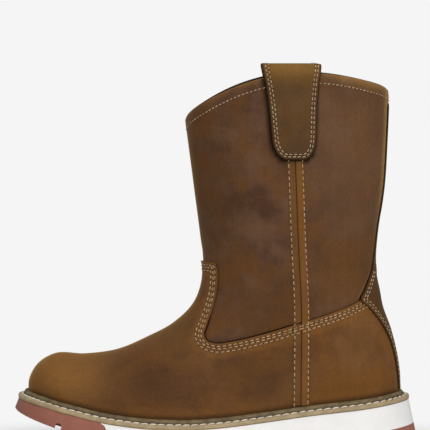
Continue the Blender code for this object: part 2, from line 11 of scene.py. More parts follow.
import bpy
import numpy as np
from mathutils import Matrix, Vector


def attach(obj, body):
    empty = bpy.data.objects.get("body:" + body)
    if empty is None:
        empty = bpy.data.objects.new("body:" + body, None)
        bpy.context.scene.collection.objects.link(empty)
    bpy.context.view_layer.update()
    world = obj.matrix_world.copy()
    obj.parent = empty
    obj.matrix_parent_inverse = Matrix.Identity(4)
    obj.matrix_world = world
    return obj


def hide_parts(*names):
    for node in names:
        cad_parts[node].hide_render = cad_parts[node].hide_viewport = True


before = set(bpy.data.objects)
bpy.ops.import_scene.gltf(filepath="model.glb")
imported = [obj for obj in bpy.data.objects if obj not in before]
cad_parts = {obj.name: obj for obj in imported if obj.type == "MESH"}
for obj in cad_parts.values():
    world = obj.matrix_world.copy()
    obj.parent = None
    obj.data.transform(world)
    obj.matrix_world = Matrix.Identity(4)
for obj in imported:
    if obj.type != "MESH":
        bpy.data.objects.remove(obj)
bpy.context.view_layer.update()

MM = 0.001
print("packed nodes:", ", ".join(sorted(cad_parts)))

# %% [markdown]
# ## Camera
# The boot was photographed from its outer side with a long lens, a little above the collar. A long lens
# could be faked with an orthographic camera, but then the far rim of the collar would hide behind the near
# one. A real distance and focal length keep that thin dark band of lining in view.

# %% Set the camera
EYE = (-0.00105, -2.6037, 0.311)
TILT_DOWN = math.radians(2.92)
SENSOR_MM = 36.0
LENS_MM = 280.8

camera_data = bpy.data.cameras.new("Camera")
camera_data.sensor_width = SENSOR_MM
camera_data.lens = LENS_MM
camera = bpy.data.objects.new("Camera", camera_data)
camera.location = EYE
camera.rotation_euler = (math.pi / 2 - TILT_DOWN, 0, 0)
bpy.context.scene.collection.objects.link(camera)
bpy.context.scene.camera = camera
print("camera", EYE, "lens", LENS_MM, "mm")

# %% [markdown]
# ## Node helpers
# Materials, lights and stitches are all node trees here. Adding nodes one by one takes three lines each, so
# one helper adds a node, sets it and joins its inputs. Colours are written as a colour picker shows them.


# %% Helpers for node trees
def join(tree, value, socket):
    """Links a socket, or sets a plain value."""
    if isinstance(value, bpy.types.NodeSocket):
        tree.links.new(value, socket)
    else:
        socket.default_value = value


def feed(tree, node, **inputs):
    """Joins a node's inputs, named as on the node with _ for a space, or numbered as in0, in1."""
    for name, value in inputs.items():
        numbered = name[:2] == "in" and name[2:].isdigit()
        join(tree, value, node.inputs[int(name[2:]) if numbered else name.replace("_", " ")])


def put(tree, kind, settings=None, **inputs):
    """Adds a node, sets it and joins its inputs."""
    made = tree.nodes.new(kind)
    for name, value in (settings or {}).items():
        setattr(made, name, value)
    feed(tree, made, **inputs)
    return made


def picked(red, green, blue):
    """Linear colour from the three numbers of a colour picker, 0 to 255."""
    share = np.array([red, green, blue]) / 255
    linear = np.where(share <= 0.04045, share / 12.92, ((share + 0.055) / 1.055) ** 2.4)
    return (*(float(part) for part in linear), 1.0)


def math_node(tree, operation, *values):
    sockets = {f"in{i}": value for i, value in enumerate(values)}
    return put(tree, "ShaderNodeMath", {"operation": operation}, **sockets).outputs[0]


def weighed(tree, first, first_share, second, second_share):
    """Sum of two values, each times its share."""
    parts = [math_node(tree, "MULTIPLY", *pair) for pair in ((first, first_share), (second, second_share))]
    return math_node(tree, "ADD", *parts)


def vector_node(tree, operation, first, second):
    return put(tree, "ShaderNodeVectorMath", {"operation": operation}, in0=first, in1=second).outputs[0]


def length_of(tree, vector):
    return put(tree, "ShaderNodeVectorMath", {"operation": "LENGTH"}, in0=vector).outputs["Value"]


def own_spot(tree):
    """Place of a point in the piece's own coordinates."""
    return put(tree, "ShaderNodeTexCoord").outputs["Object"]


def ramp(tree, value, low, high, to_low=0.0, to_high=1.0):
    """Soft step of a value between two limits."""
    limits = {"From_Min": low, "From_Max": high, "To_Min": to_low, "To_Max": to_high}
    soft = {"interpolation_type": "SMOOTHSTEP"}
    return put(tree, "ShaderNodeMapRange", soft, Value=value, **limits).outputs[0]


def mixed(tree, share, first, second, mode="MIX"):
    """Mix of two colours."""
    settings = {"data_type": "RGBA", "blend_type": mode}
    return put(tree, "ShaderNodeMix", settings, in0=share, in6=first, in7=second).outputs[2]


WHITE = (1.0, 1.0, 1.0, 1.0)
BLACK = (0.0, 0.0, 0.0, 1.0)
ZERO = (0.0, 0.0, 0.0)
ONES = (1.0, 1.0, 1.0)
print("a picked mid grey is", round(picked(128, 128, 128)[0], 3), "in linear light")

# %% [markdown]
# ## Studio
# The picture has an even, pale backdrop and broad light with no hard shadow. A dome of light alone would
# flatten the leather, so a big soft box stands in front, a small one at the left and one hangs overhead.
# The camera sees the backdrop's own grey, which Light Path keeps apart from the dome's strength. The floor
# is a pale disc that fades out before the backdrop begins, so other views get a contact shadow and no rim.

# %% Dome and backdrop
BACKDROP = 0.913
DOME = 0.45

scene = bpy.context.scene
scene.view_settings.view_transform = "Standard"
world = bpy.data.worlds.new("Studio")
world.use_nodes = True
scene.world = world
sky = world.node_tree
sky.nodes.clear()
dome = put(sky, "ShaderNodeBackground", Color=WHITE, Strength=DOME)
backdrop = put(sky, "ShaderNodeBackground", Color=WHITE, Strength=BACKDROP)
seen = put(sky, "ShaderNodeLightPath").outputs["Is Camera Ray"]
look = put(sky, "ShaderNodeMixShader", in0=seen, in1=dome.outputs[0], in2=backdrop.outputs[0])
put(sky, "ShaderNodeOutputWorld", Surface=look.outputs[0])
print("dome", DOME, "backdrop", BACKDROP)

# %% Soft boxes
SoftBox = namedtuple("SoftBox", "name x y z size watts")
SOFT_BOXES = [
    SoftBox("front_box", 0.5, -1.7, 0.95, 1.2, 17.0),
    SoftBox("left_box", -1.1, -1.1, 0.7, 0.9, 1.2),
    SoftBox("top_box", 0.0, -0.35, 1.5, 1.0, 5.0),
]
AIM = Vector((0.0, 0.0, 0.14))


def hang_soft_box(box):
    """Area light that faces the middle of the boot."""
    light = bpy.data.lights.new(box.name, "AREA")
    light.size = box.size
    light.energy = box.watts
    lamp = bpy.data.objects.new(box.name, light)
    lamp.location = (box.x, box.y, box.z)
    lamp.rotation_euler = (lamp.location - AIM).to_track_quat("Z", "Y").to_euler()
    scene.collection.objects.link(lamp)


for box in SOFT_BOXES:
    hang_soft_box(box)
print("soft boxes:", ", ".join(box.name for box in SOFT_BOXES))

# %% Floor
FLOOR_Z = -0.0004
FLOOR_RADIUS = 0.6
FLOOR_SOLID = 0.05
FLOOR_GONE = 0.2
FLOOR_SIDES = 96
FLOOR_GREY = (0.9, 0.9, 0.9, 1.0)
FLOOR_OVAL = (0.6, 1.0, 0.0)


def make_floor():
    """Pale disc whose surface turns clear towards its rim."""
    turn = np.linspace(0, 2 * math.pi, FLOOR_SIDES, endpoint=False)
    rim = np.stack([np.cos(turn), np.sin(turn), 0 * turn], -1) * FLOOR_RADIUS + [0, 0, FLOOR_Z]
    mesh = bpy.data.meshes.new("floor")
    mesh.from_pydata(rim.tolist(), [], [tuple(range(FLOOR_SIDES))])
    paint = bpy.data.materials.new("Pale floor")
    paint.use_nodes = True
    tree = paint.node_tree
    tree.nodes.clear()
    far = length_of(tree, vector_node(tree, "MULTIPLY", own_spot(tree), FLOOR_OVAL))
    clear = ramp(tree, far, FLOOR_SOLID, FLOOR_GONE)
    pale = put(tree, "ShaderNodeBsdfDiffuse", Color=FLOOR_GREY)
    gone = put(tree, "ShaderNodeBsdfTransparent")
    fade = put(tree, "ShaderNodeMixShader", in0=clear, in1=pale.outputs[0], in2=gone.outputs[0])
    put(tree, "ShaderNodeOutputMaterial", Surface=fade.outputs[0])
    mesh.materials.append(paint)
    floor = bpy.data.objects.new("floor", mesh)
    scene.collection.objects.link(floor)
    return floor


make_floor()
print("floor disc", FLOOR_RADIUS, "m")

# %% [markdown]
# ## The last
# A boot takes its shape from the last, the foot-shaped block that it is pulled over. Sculpting would do, but
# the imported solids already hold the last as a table: each section runs from a spot on the front outline to
# a spot on the back outline, and half widths give it its breadth. The same tables here give the same shape,
# at any fineness, so that the dressed leather lies exactly where the solids are.

# %% Tables of the last
Section = namedtuple("Section", "front_x front_z back_x back_z front_round back_round bed collar")
SECTIONS = [
    Section(-143.4, 34.0, 141.4, 34.7, 31.0, 40.0, 1.00, 0.00),
    Section(-143.5, 50.2, 141.6, 43.5, 31.0, 40.0, 0.88, 0.00),
    Section(-137.6, 60.7, 141.4, 49.0, 31.0, 40.0, 0.76, 0.00),
    Section(-125.9, 68.1, 141.2, 54.0, 31.0, 40.0, 0.64, 0.00),
    Section(-101.5, 68.4, 140.6, 60.0, 36.0, 41.0, 0.50, 0.00),
    Section(-76.2, 72.1, 139.4, 68.0, 42.0, 42.0, 0.36, 0.00),
    Section(-51.2, 82.7, 137.2, 78.2, 47.0, 44.0, 0.22, 0.00),
    Section(-32.2, 93.1, 134.1, 89.5, 50.0, 48.0, 0.10, 0.00),
    Section(-14.7, 111.1, 127.7, 107.5, 53.0, 54.0, 0.00, 0.00),
    Section(-8.8, 130.2, 124.7, 127.5, 58.0, 60.0, 0.00, 0.00),
    Section(-9.3, 145.0, 123.6, 145.0, 62.0, 64.0, 0.00, 0.02),
    Section(-11.4, 162.5, 124.9, 163.5, 66.0, 66.0, 0.00, 0.10),
    Section(-15.9, 197.0, 130.2, 200.0, 72.0, 72.0, 0.00, 0.35),
    Section(-20.2, 230.0, 132.5, 238.0, 76.0, 76.0, 0.00, 0.70),
    Section(-23.6, 255.3, 134.0, 276.9, 78.0, 78.0, 0.00, 1.00),
]
COLLAR_SECTION = len(SECTIONS) - 1
ROUND_POWER = 2.1
COLLAR_RISE_FRONT = 24.3
COLLAR_RISE_BACK = 18.7
COLLAR_DIP_FRONT = 3.6
COLLAR_DIP_BACK = 2.6
COLLAR_DIP_SHARE = 0.012
Station = namedtuple("Station", "x outer inner swing")
FOOT = [
    Station(-144.0, 34.5, 34.5, 10.0), Station(-124.0, 40.0, 41.0, 9.0), Station(-102.0, 43.5, 44.5, 7.0),
    Station(-66.0, 47.0, 47.0, 4.0), Station(-30.0, 46.5, 42.0, 2.0), Station(20.0, 38.5, 34.5, 0.8),
    Station(60.0, 34.8, 32.2, 0.0), Station(112.0, 33.2, 33.2, 0.0), Station(145.0, 33.0, 33.0, 0.0),
]
Girth = namedtuple("Girth", "z half")
SHAFT = [
    Girth(70.0, 36.5), Girth(125.0, 37.0), Girth(160.0, 39.0), Girth(200.0, 42.5), Girth(300.0, 46.5),
]
BLEND_FROM = 70.0
BLEND_TO = 132.0
Height = namedtuple("Height", "x z")
BED = [
    Height(-156.0, 36.2), Height(-135.0, 32.6), Height(-113.0, 27.4), Height(-81.0, 20.6),
    Height(-45.0, 16.8), Height(-22.0, 16.3), Height(5.0, 17.6), Height(31.0, 20.5),
    Height(73.0, 26.2), Height(115.0, 31.0), Height(156.0, 36.8),
]
print(len(SECTIONS), "sections,", len(FOOT), "foot stations")


# %% Smooth curves through the tables
def column(rows, name):
    return np.array([getattr(row, name) for row in rows])


def smooth(knots, values, at):
    """Cubic curve through the values that keeps flat stretches flat and never overshoots."""
    steps = np.diff(knots)
    slopes = np.diff(values) / steps
    before, after = slopes[:-1], slopes[1:]
    same_way = before * after > 0
    bends = np.zeros(len(knots))
    bends[1:-1][same_way] = 2 * before[same_way] * after[same_way] / (before + after)[same_way]
    bends[0], bends[-1] = slopes[0], slopes[-1]
    at = np.clip(at, knots[0], knots[-1])
    i = np.clip(np.searchsorted(knots, at) - 1, 0, len(steps) - 1)
    h = steps[i]
    u = (at - knots[i]) / h
    ends = values[i] * (1 + 2 * u) * (1 - u) ** 2 + values[i + 1] * u**2 * (3 - 2 * u)
    return ends + h * bends[i] * u * (1 - u) ** 2 + h * bends[i + 1] * u**2 * (u - 1)


def by_x(rows, name, x):
    return smooth(column(rows, "x"), column(rows, name), x)


def flowing(rows, at):
    """Smooth curve through the rows, paced by the distance between them, at fractional row numbers."""
    knots = np.array(rows, float)
    pace = np.linalg.norm(np.diff(knots[:, :2], axis=0), axis=1)[:, None]
    slopes = np.diff(knots, axis=0) / pace
    bends = np.vstack([slopes[:1], slopes, slopes[-1:]])
    weights = np.vstack([pace[:1], pace, pace[-1:]])
    bends = (bends[:-1] * weights[1:] + bends[1:] * weights[:-1]) / (weights[1:] + weights[:-1])
    i = np.minimum(at.astype(int), len(rows) - 2)
    u = (at - i)[:, None]
    ends = knots[i] * (1 + 2 * u) * (1 - u) ** 2 + knots[i + 1] * u**2 * (3 - 2 * u)
    return ends + pace[i] * (bends[i] * u * (1 - u) ** 2 + bends[i + 1] * u**2 * (u - 1))


def row_numbers(rows, a_span):
    """Row numbers from the first row to the last, so many to each span."""
    return np.linspace(0, len(rows) - 1, (len(rows) - 1) * a_span + 1)


def ease(value, low, high):
    u = np.clip((value - low) / (high - low), 0, 1)
    return u * u * (3 - 2 * u)


print("bed under the ball:", round(float(by_x(BED, "z", -66.0)), 1), "mm")

# %% The wall of the last at any spot of the side view
BLOCK = 3000
LINE_POINTS = 12


def outline(end):
    """Front or back outline in the side view, run on past the collar: x, z and round."""
    rows = [[getattr(row, f"{end}_{name}") for name in ("x", "z", "round")] for row in SECTIONS]
    line = flowing(rows, row_numbers(rows, LINE_POINTS))
    below = line[0] + [0, -SECTIONS[0].front_z, 0]
    above = line[-1] + LINE_POINTS * (line[-1] - line[-4])
    return np.vstack([below, line, above])


FRONT_LINE = outline("front")
BACK_LINE = outline("back")


def outline_x(line, z):
    return np.interp(z, line[:, 1], line[:, 0])


def roundness(x, z, line):
    """From 0 on the outline to 1 at its round's distance inside it."""
    start, run = line[:-1, :2], np.diff(line[:, :2], axis=0)
    squares = (run**2).sum(-1)
    x, z = np.broadcast_arrays(x, z)
    spots = np.stack([x.ravel(), z.ravel()], -1)
    reach = np.empty(len(spots))
    for first in range(0, len(spots), BLOCK):
        to = spots[first:first + BLOCK, None] - start
        along = np.clip((to * run).sum(-1) / squares, 0, 1)
        distance = np.linalg.norm(to - along[..., None] * run, axis=-1)
        nearest = distance.argmin(-1)
        each = np.arange(len(nearest))
        share = along[each, nearest]
        round_here = line[nearest, 2] * (1 - share) + line[nearest + 1, 2] * share
        reach[first:first + BLOCK] = distance[each, nearest] / round_here
    reach = np.clip(reach, 0, 1).reshape(x.shape)
    return (1 - (1 - reach) ** ROUND_POWER) ** (1 / ROUND_POWER)


def half_widths(x, z):
    """Outer and inner half widths at a spot of the side view, and the centre line's swing."""
    ends = roundness(x, z, FRONT_LINE) * roundness(x, z, BACK_LINE)
    to_shaft = ease(z, BLEND_FROM, BLEND_TO)
    shaft = smooth(column(SHAFT, "z"), column(SHAFT, "half"), z)
    outer = by_x(FOOT, "outer", x) * (1 - to_shaft) + shaft * to_shaft
    inner = by_x(FOOT, "inner", x) * (1 - to_shaft) + shaft * to_shaft
    return outer * ends, inner * ends, by_x(FOOT, "swing", x) * (1 - to_shaft)


def wall_spot(x, z, side):
    """Point of the upper's outer face. The outer side of the foot is -1, the inner side +1."""
    outer, inner, swing = half_widths(x, z)
    return np.stack([x + 0 * swing, swing + np.where(side < 0, -outer, inner), z + 0 * swing], -1)


def spot_normals(x, z, side):
    """Outward directions of the upper's outer face at spots of the side view."""
    reach = 1.0
    along = wall_spot(x + reach, z, side) - wall_spot(x - reach, z, side)
    up = wall_spot(x, z + reach, side) - wall_spot(x, z - reach, side)
    out = np.cross(along, up) * np.where(np.asarray(side) < 0, 1, -1)[..., None]
    return out / np.linalg.norm(out, axis=-1, keepdims=True)


print("half widths at the ball:", [round(float(part), 1) for part in half_widths(np.array(-66.0), 40.0)])

# %% Sections of the upper
WELT_HEIGHT = 7.5
FOOT_SECTION = 5


def section_numbers(first, foot_count, last, leg_count):
    """Section numbers of a fine grid, so many in the foot and so many up the leg."""
    foot = np.linspace(first, FOOT_SECTION, foot_count)
    return np.concatenate([foot, np.linspace(FOOT_SECTION, last, leg_count)[1:]])


def upper_grid(numbers, columns):
    """Points of the upper's outer face: a row for each section number, closed round the boot.

    A row starts at the back, runs along the outer side to the front and returns along the inner side.
    """
    rows = flowing(SECTIONS, numbers)
    at = {name: rows[:, i][:, None] for i, name in enumerate(Section._fields)}
    angle = np.linspace(0, 2 * math.pi, columns, endpoint=False)[None, :]
    to_back = (1 + np.cos(angle)) / 2
    x = at["front_x"] + (at["back_x"] - at["front_x"]) * to_back
    z = at["front_z"] + (at["back_z"] - at["front_z"]) * to_back
    toe_bed, heel_bed = by_x(BED, "z", at["front_x"]), by_x(BED, "z", at["back_x"])
    z = z + at["bed"] * (by_x(BED, "z", x) - toe_bed - (heel_bed - toe_bed) * to_back)
    rise = COLLAR_RISE_FRONT + (COLLAR_RISE_BACK - COLLAR_RISE_FRONT) * to_back
    dip = COLLAR_DIP_FRONT * np.exp(-to_back / COLLAR_DIP_SHARE)
    dip = at["collar"] * (dip + COLLAR_DIP_BACK * np.exp((to_back - 1) / COLLAR_DIP_SHARE))
    z = z + at["collar"] * rise * np.sin(angle) ** 2 - dip
    ends = (FRONT_LINE, at["front_z"], 1 - to_back), (BACK_LINE, at["back_z"], to_back)
    for line, end_z, share in ends:
        x = x + share * (outline_x(line, end_z - dip) - outline_x(line, end_z))
    return wall_spot(x, z, np.where(angle < math.pi, -1, 1))


def grid_normals(grid):
    """Outward directions of a grid that closes on itself round the boot."""
    around = np.roll(grid, -1, 1) - np.roll(grid, 1, 1)
    out = np.cross(np.gradient(grid, axis=0), around)
    return out / np.linalg.norm(out, axis=-1, keepdims=True)


def seat_loop(out, up, count):
    """Closed loop round the foot at a distance out from the upper's wall and a height over the bed."""
    angle = np.linspace(0, 2 * math.pi, count, endpoint=False)
    level = SECTIONS[0].front_z + WELT_HEIGHT
    front, back = (outline_x(line, level) for line in (FRONT_LINE, BACK_LINE))
    x = front + (back - front) * (1 + np.cos(angle)) / 2
    plan = wall_spot(x, by_x(BED, "z", x) + WELT_HEIGHT, np.where(angle < math.pi, -1, 1))
    run = np.roll(plan, -1, 0) - np.roll(plan, 1, 0)
    away = np.stack([-run[:, 1], run[:, 0], 0 * angle], -1)
    away /= np.linalg.norm(away, axis=1, keepdims=True)
    loop = plan + away * np.reshape(out, (-1, 1))
    loop[:, 2] = by_x(BED, "z", loop[:, 0]) + up
    return loop


collar = upper_grid(np.array([float(COLLAR_SECTION)]), 96)[0]
print("collar from", round(collar[:, 2].min(), 1), "to", round(collar[:, 2].max(), 1), "mm high")

# %% [markdown]
# ## Where the boot stands
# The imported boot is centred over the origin, while the tables measure from the middle of the foot. The
# shift between them could be typed in, but measuring the sole's own rim finds it exactly.

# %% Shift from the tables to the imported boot
SOLE_REACH = 9.0
Flare = namedtuple("Flare", "x out")
FLARE = [
    Flare(-156.0, 3.0), Flare(-125.0, 2.0), Flare(20.0, 1.8), Flare(105.0, 2.6), Flare(150.0, 7.5),
]
CAD_POINTS = 44


def sole_foot(count, inset=0.0):
    """Rim of the sole at the foot of its side wall, in plan."""
    top = seat_loop(SOLE_REACH, 0.0, count)
    return seat_loop(SOLE_REACH + by_x(FLARE, "out", top[:, 0]) - inset, 0.0, count)


rim = sole_foot(CAD_POINTS)
STAND = np.array([*((rim.min(0) + rim.max(0)) / 2)[:2], 0.0])


def placed(points):
    """Points of the tables, in millimetres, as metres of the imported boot."""
    return (np.asarray(points).reshape(-1, 3) - STAND) * MM


print("shift", STAND.round(3), "mm")

# %% [markdown]
# ## From points to leather pieces
# A cut piece of leather is a sheet with a grain side, a flesh side and a rounded cut edge. A Solidify
# modifier gives the two sides but a square edge, so the sheet is closed by hand: rings of points walk round
# its border. Each piece also carries fields, numbers stored at its points, that its finish reads later:
# near the edge, pulled pale or given a painted highlight, darkened with painted shade, or cut raw.

# %% Sheets and their borders
Sheet = namedtuple("Sheet", "points normals faces")
EDGE_ROUND = 0.45
EDGE_REACH = 20.0
EDGE_BENDS = np.radians([30, 60, 90])
FIRST_RING_RAW = 0.4


def grid_faces(rows, columns, closed):
    """Four-sided faces of a grid, joined round each row if it is closed."""
    index = np.arange(rows * columns).reshape(rows, columns)
    after = np.roll(index, -1, 1) if closed else index[:, 1:]
    here = index if closed else index[:, :-1]
    return np.stack([here[:-1], after[:-1], after[1:], here[1:]], -1).reshape(-1, 4)


def open_grid(points):
    """Sheet from an open grid of points, its normals taken from the grid itself."""
    out = np.cross(np.gradient(points, axis=1), np.gradient(points, axis=0))
    out /= np.linalg.norm(out, axis=-1, keepdims=True)
    faces = grid_faces(*points.shape[:2], False)
    return Sheet(points.reshape(-1, 3), out.reshape(-1, 3), faces)


def raised(sheet, by):
    """The same sheet, lifted along its normals."""
    return Sheet(sheet.points + sheet.normals * np.reshape(by, (-1, 1)), sheet.normals, sheet.faces)


def border_edges(faces):
    """Directed edges that only one face uses. A triangle is a face whose last corner is repeated."""
    edges = np.stack([faces, np.roll(faces, -1, 1)], -1).reshape(-1, 2)
    edges = edges[edges[:, 0] != edges[:, 1]]
    size = faces.max() + 1
    lone = ~np.isin(edges[:, 0] * size + edges[:, 1], edges[:, 1] * size + edges[:, 0])
    return edges[lone]


def border_directions(sheet, edges):
    """Directions out of the sheet, in its own plane, at its border points."""
    run = sheet.points[edges[:, 1]] - sheet.points[edges[:, 0]]
    across = np.cross(run, sheet.normals[edges[:, 0]] + sheet.normals[edges[:, 1]])
    away = np.zeros_like(sheet.points)
    np.add.at(away, edges[:, 0], across)
    np.add.at(away, edges[:, 1], across)
    rim = np.unique(edges)
    away = away[rim]
    return rim, away / np.linalg.norm(away, axis=1, keepdims=True)


def leather_sheet(sheet, thickness, fields, edge_round=EDGE_ROUND):
    """Closed leather of a sheet: points, faces and fields. The sheet is its flesh side."""
    edges = border_edges(sheet.faces)
    rim, away = border_directions(sheet, edges)
    count, thick = len(sheet.points), np.broadcast_to(thickness, len(sheet.points))
    steps = [(edge_round * math.sin(bend), edge_round * (math.cos(bend) - 1)) for bend in EDGE_BENDS]
    rings = [sheet.points[rim] + away * out + sheet.normals[rim] * (thick[rim] + down)[:, None]
             for out, down in steps]
    rings.append(sheet.points[rim] + away * edge_round)
    points = np.vstack([raised(sheet, thick).points, sheet.points, *rings])
    place = np.full(count, -1)
    place[rim] = np.arange(len(rim))
    ring_edges = [place[edges] + 2 * count + k * len(rim) for k in range(len(rings))]
    layers = [edges, *ring_edges, edges + count]
    walls = [np.hstack([high[:, ::-1], low]) for high, low in zip(layers[:-1], layers[1:])]
    faces = np.vstack([sheet.faces, sheet.faces[:, ::-1] + count, *walls])
    full = {}
    for name, values in fields.items():
        full[name] = np.concatenate([values, values, *[values[rim]] * len(rings)])
    full["raw"] = np.concatenate([np.zeros(count), np.ones(count), np.full(len(rim), FIRST_RING_RAW),
                                  np.ones(len(rim) * (len(rings) - 1))])
    return points, faces, full


print("cut edges are rounded by", EDGE_ROUND, "mm")

# %% Objects from points
SHARP_ANGLE = math.radians(42)


def face_tuples(faces):
    """Faces as Blender takes them, triangles without their repeated corner."""
    return [tuple(dict.fromkeys(face)) for face in np.asarray(faces).tolist()]


def boot_piece(name, points, faces, material, fields=None):
    """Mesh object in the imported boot's place, with a field of numbers for each name."""
    mesh = bpy.data.meshes.new(name)
    mesh.from_pydata(placed(points).tolist(), [], face_tuples(faces))
    mesh.materials.append(material)
    for label, values in (fields or {}).items():
        store = mesh.attributes.new(label, "FLOAT", "POINT")
        store.data.foreach_set("value", np.asarray(values, np.float32))
    mesh.shade_smooth()
    mesh.set_sharp_from_angle(angle=SHARP_ANGLE)
    piece = bpy.data.objects.new(name, mesh)
    scene.collection.objects.link(piece)
    print(name, len(mesh.polygons), "faces")
    return piece


def sheet_piece(name, sheet, thickness, material, fields, edge_round=EDGE_ROUND):
    """Piece of leather from a sheet."""
    points, faces, full = leather_sheet(sheet, thickness, fields, edge_round)
    return boot_piece(name, points, faces, material, full)


# %% Distances to a line
def distance_to(points, line):
    """Distance from each point to the nearest of the points of a finely divided line."""
    nearest = np.empty(len(points))
    for first in range(0, len(points), BLOCK):
        gaps = points[first:first + BLOCK, None] - line[None]
        nearest[first:first + BLOCK] = np.sqrt((gaps**2).sum(-1).min(-1))
    return nearest


def nearness(distance, reach=EDGE_REACH):
    """Field that is 1 on a line and falls evenly to 0 at its reach."""
    return np.clip(1 - distance / reach, 0, 1)


def finely(line, step):
    """The same line with points a step apart."""
    along = np.concatenate([[0], np.cumsum(np.linalg.norm(np.diff(line, axis=0), axis=1))])
    at = np.linspace(0, along[-1], max(2, round(along[-1] / step) + 1))
    return np.stack([np.interp(at, along, part) for part in line.T], -1)


def inside_outline(x, z, outline_spots):
    """Signed distance to a closed outline of the side view, positive inside it."""
    spots = np.stack([x.ravel(), z.ravel()], -1)
    start = outline_spots
    run = np.roll(start, -1, 0) - start
    rise = np.where(run[:, 1] == 0, 1e-9, run[:, 1])
    signed = np.empty(len(spots))
    for first in range(0, len(spots), BLOCK):
        here = spots[first:first + BLOCK, None]
        to = here - start
        along = np.clip((to * run).sum(-1) / (run**2).sum(-1), 0, 1)
        distance = np.linalg.norm(to - along[..., None] * run, axis=-1).min(-1)
        between = (to[..., 1] >= 0) != (to[..., 1] - run[:, 1] >= 0)
        left = to[..., 0] < run[:, 0] * to[..., 1] / rise
        odd = (between & left).sum(-1) % 2 == 1
        signed[first:first + BLOCK] = np.where(odd, distance, -distance)
    return signed.reshape(x.shape)


print("fields reach", EDGE_REACH, "mm from a line")


# %% Trim a grid to an outline, and find the lines of equal distance
def trimmed(grid, inside):
    """Part of a closed grid where a signed distance is positive, its border moved onto the zero line."""
    points, signed = grid.reshape(-1, 3).copy(), inside.ravel().copy()
    index = np.arange(len(points)).reshape(grid.shape[:2])
    around = np.stack([index, np.roll(index, -1, 1)], -1).reshape(-1, 2)
    upward = np.stack([index[:-1], index[1:]], -1).reshape(-1, 2)
    a, b = np.vstack([around, upward]).T
    crossing = signed[a] * signed[b] < 0
    a, b = a[crossing], b[crossing]
    share = signed[a] / (signed[a] - signed[b])
    spots = points[a] + (points[b] - points[a]) * share[:, None]
    near = np.where(share < 0.5, a, b)
    order = np.argsort(-np.linalg.norm(spots - points[near], axis=1))
    faces = grid_faces(*grid.shape[:2], True)
    middle = signed[faces].mean(1)
    points[near[order]] = spots[order]
    signed[near] = 0
    signs = signed[faces]
    whole = (signs >= 0).all(1) & ((signs > 0).any(1) | (middle > 0))
    part = (signs > 0).any(1) & (signs < 0).any(1)
    corners = [[c for c, s in zip(face, sign) if s >= 0] for face, sign in zip(faces[part], signs[part])]
    corners = [[*three, three[2]] for three in corners if len(three) == 3]
    kept = np.vstack([faces[whole], np.array(corners, int).reshape(-1, 4)])
    used, renumbered = np.unique(kept, return_inverse=True)
    return points[used], renumbered.reshape(kept.shape), used


def chains(links):
    """Runs of linked things, each from end to end, or once round if it closes."""
    left = {key: list(ends) for key, ends in links.items()}
    starts = [key for key, ends in left.items() if len(ends) == 1] + list(left)
    runs = []
    for start in starts:
        if not left[start]:
            continue
        run = [start]
        while left[run[-1]]:
            after = left[run[-1]].pop()
            left[after].remove(run[-1])
            run.append(after)
        runs.append(run)
    return runs


def level_lines(points, normals, faces, values, level):
    """Lines on a mesh where a field takes one value: a list of points and normals for each line."""
    held = values - level
    held = np.where(held == 0, 1e-9, held)
    signs = held[faces] > 0
    links = {}
    for face in faces[signs.any(1) & ~signs.all(1)].tolist():
        pairs = [tuple(sorted(pair)) for pair in zip(face, face[1:] + face[:1])]
        hit = [pair for pair in pairs if pair[0] != pair[1] and held[pair[0]] * held[pair[1]] < 0]
        if len(hit) == 2:
            links.setdefault(hit[0], []).append(hit[1])
            links.setdefault(hit[1], []).append(hit[0])
    lines = []
    for run in chains(links):
        a, b = np.array(run).T
        share = (held[a] / (held[a] - held[b]))[:, None]
        out = normals[a] * (1 - share) + normals[b] * share
        out /= np.linalg.norm(out, axis=1, keepdims=True)
        lines.append((points[a] * (1 - share) + points[b] * share, out))
    return lines


print("trimming and level lines ready")

# %% [markdown]
# ## Effects that the finishes share
# Oiled leather shows three things at once: a pebbled grain, cloudy patches where oil has moved, and pale
# amber where it was pulled over an edge or a seam. Shade is painted in as well: dark colour in the gaps
# beside lapped edges and where parts cast shadows. Each effect is a node group built once, and every leather
# takes its own values. A baked picture could hold them too, but it would blur close up.


# %% Group helpers
def new_group(name, inputs, outputs):
    """Empty shader group with its sockets: name to kind and starting value, name to kind."""
    tree = bpy.data.node_groups.new(name, "ShaderNodeTree")
    for label, (kind, value) in inputs.items():
        socket = tree.interface.new_socket(label, in_out="INPUT", socket_type=f"NodeSocket{kind}")
        socket.default_value = value
    for label, kind in outputs.items():
        tree.interface.new_socket(label, in_out="OUTPUT", socket_type=f"NodeSocket{kind}")
    return tree, put(tree, "NodeGroupInput").outputs, put(tree, "NodeGroupOutput").inputs


def use_group(tree, group, **inputs):
    return put(tree, "ShaderNodeGroup", {"node_tree": group}, **inputs).outputs


def noise(tree, vector, scale, detail=3.0, roughness=0.5):
    return put(tree, "ShaderNodeTexNoise", Vector=vector, Scale=scale, Detail=detail,
               Roughness=roughness).outputs["Fac"]


print("group helpers ready")

# %% Grain, clouds and mottle
PEBBLES_A_METRE = 850.0
PEBBLE_SMOOTH = 0.6
PEBBLE_HEIGHT = -0.8
FINE_GRAIN_SCALE = 2.6
FINE_GRAIN_HEIGHT = 0.5
PORE_LIMITS = (0.45, 0.8)
Noise = namedtuple("Noise", "shift scale detail roughness")
BIG_PATCH = Noise(ZERO, 32.0, 2.0, 0.5)
SMALL_PATCH = Noise((0.7, 0.2, 0.4), 95.0, 3.0, 0.55)
BIG_SHARE = 0.72
SMALL_SHARE = 0.28
PATCH_LIMITS = (0.37, 0.65)
DRIFT = Noise((3.1, 1.7, 5.3), 40.0, 3.0, 0.55)
DRIFT_LIMITS = (0.44, 0.64)
DRIFT_SHARE = 0.85
SMUDGE = Noise((8.3, 4.1, 2.2), 60.0, 4.0, 0.6)
SMUDGE_LIMITS = (0.54, 0.78)
SMUDGE_SHARE = 0.3
STREAK = Noise(ZERO, 260.0, 4.0, 0.6)
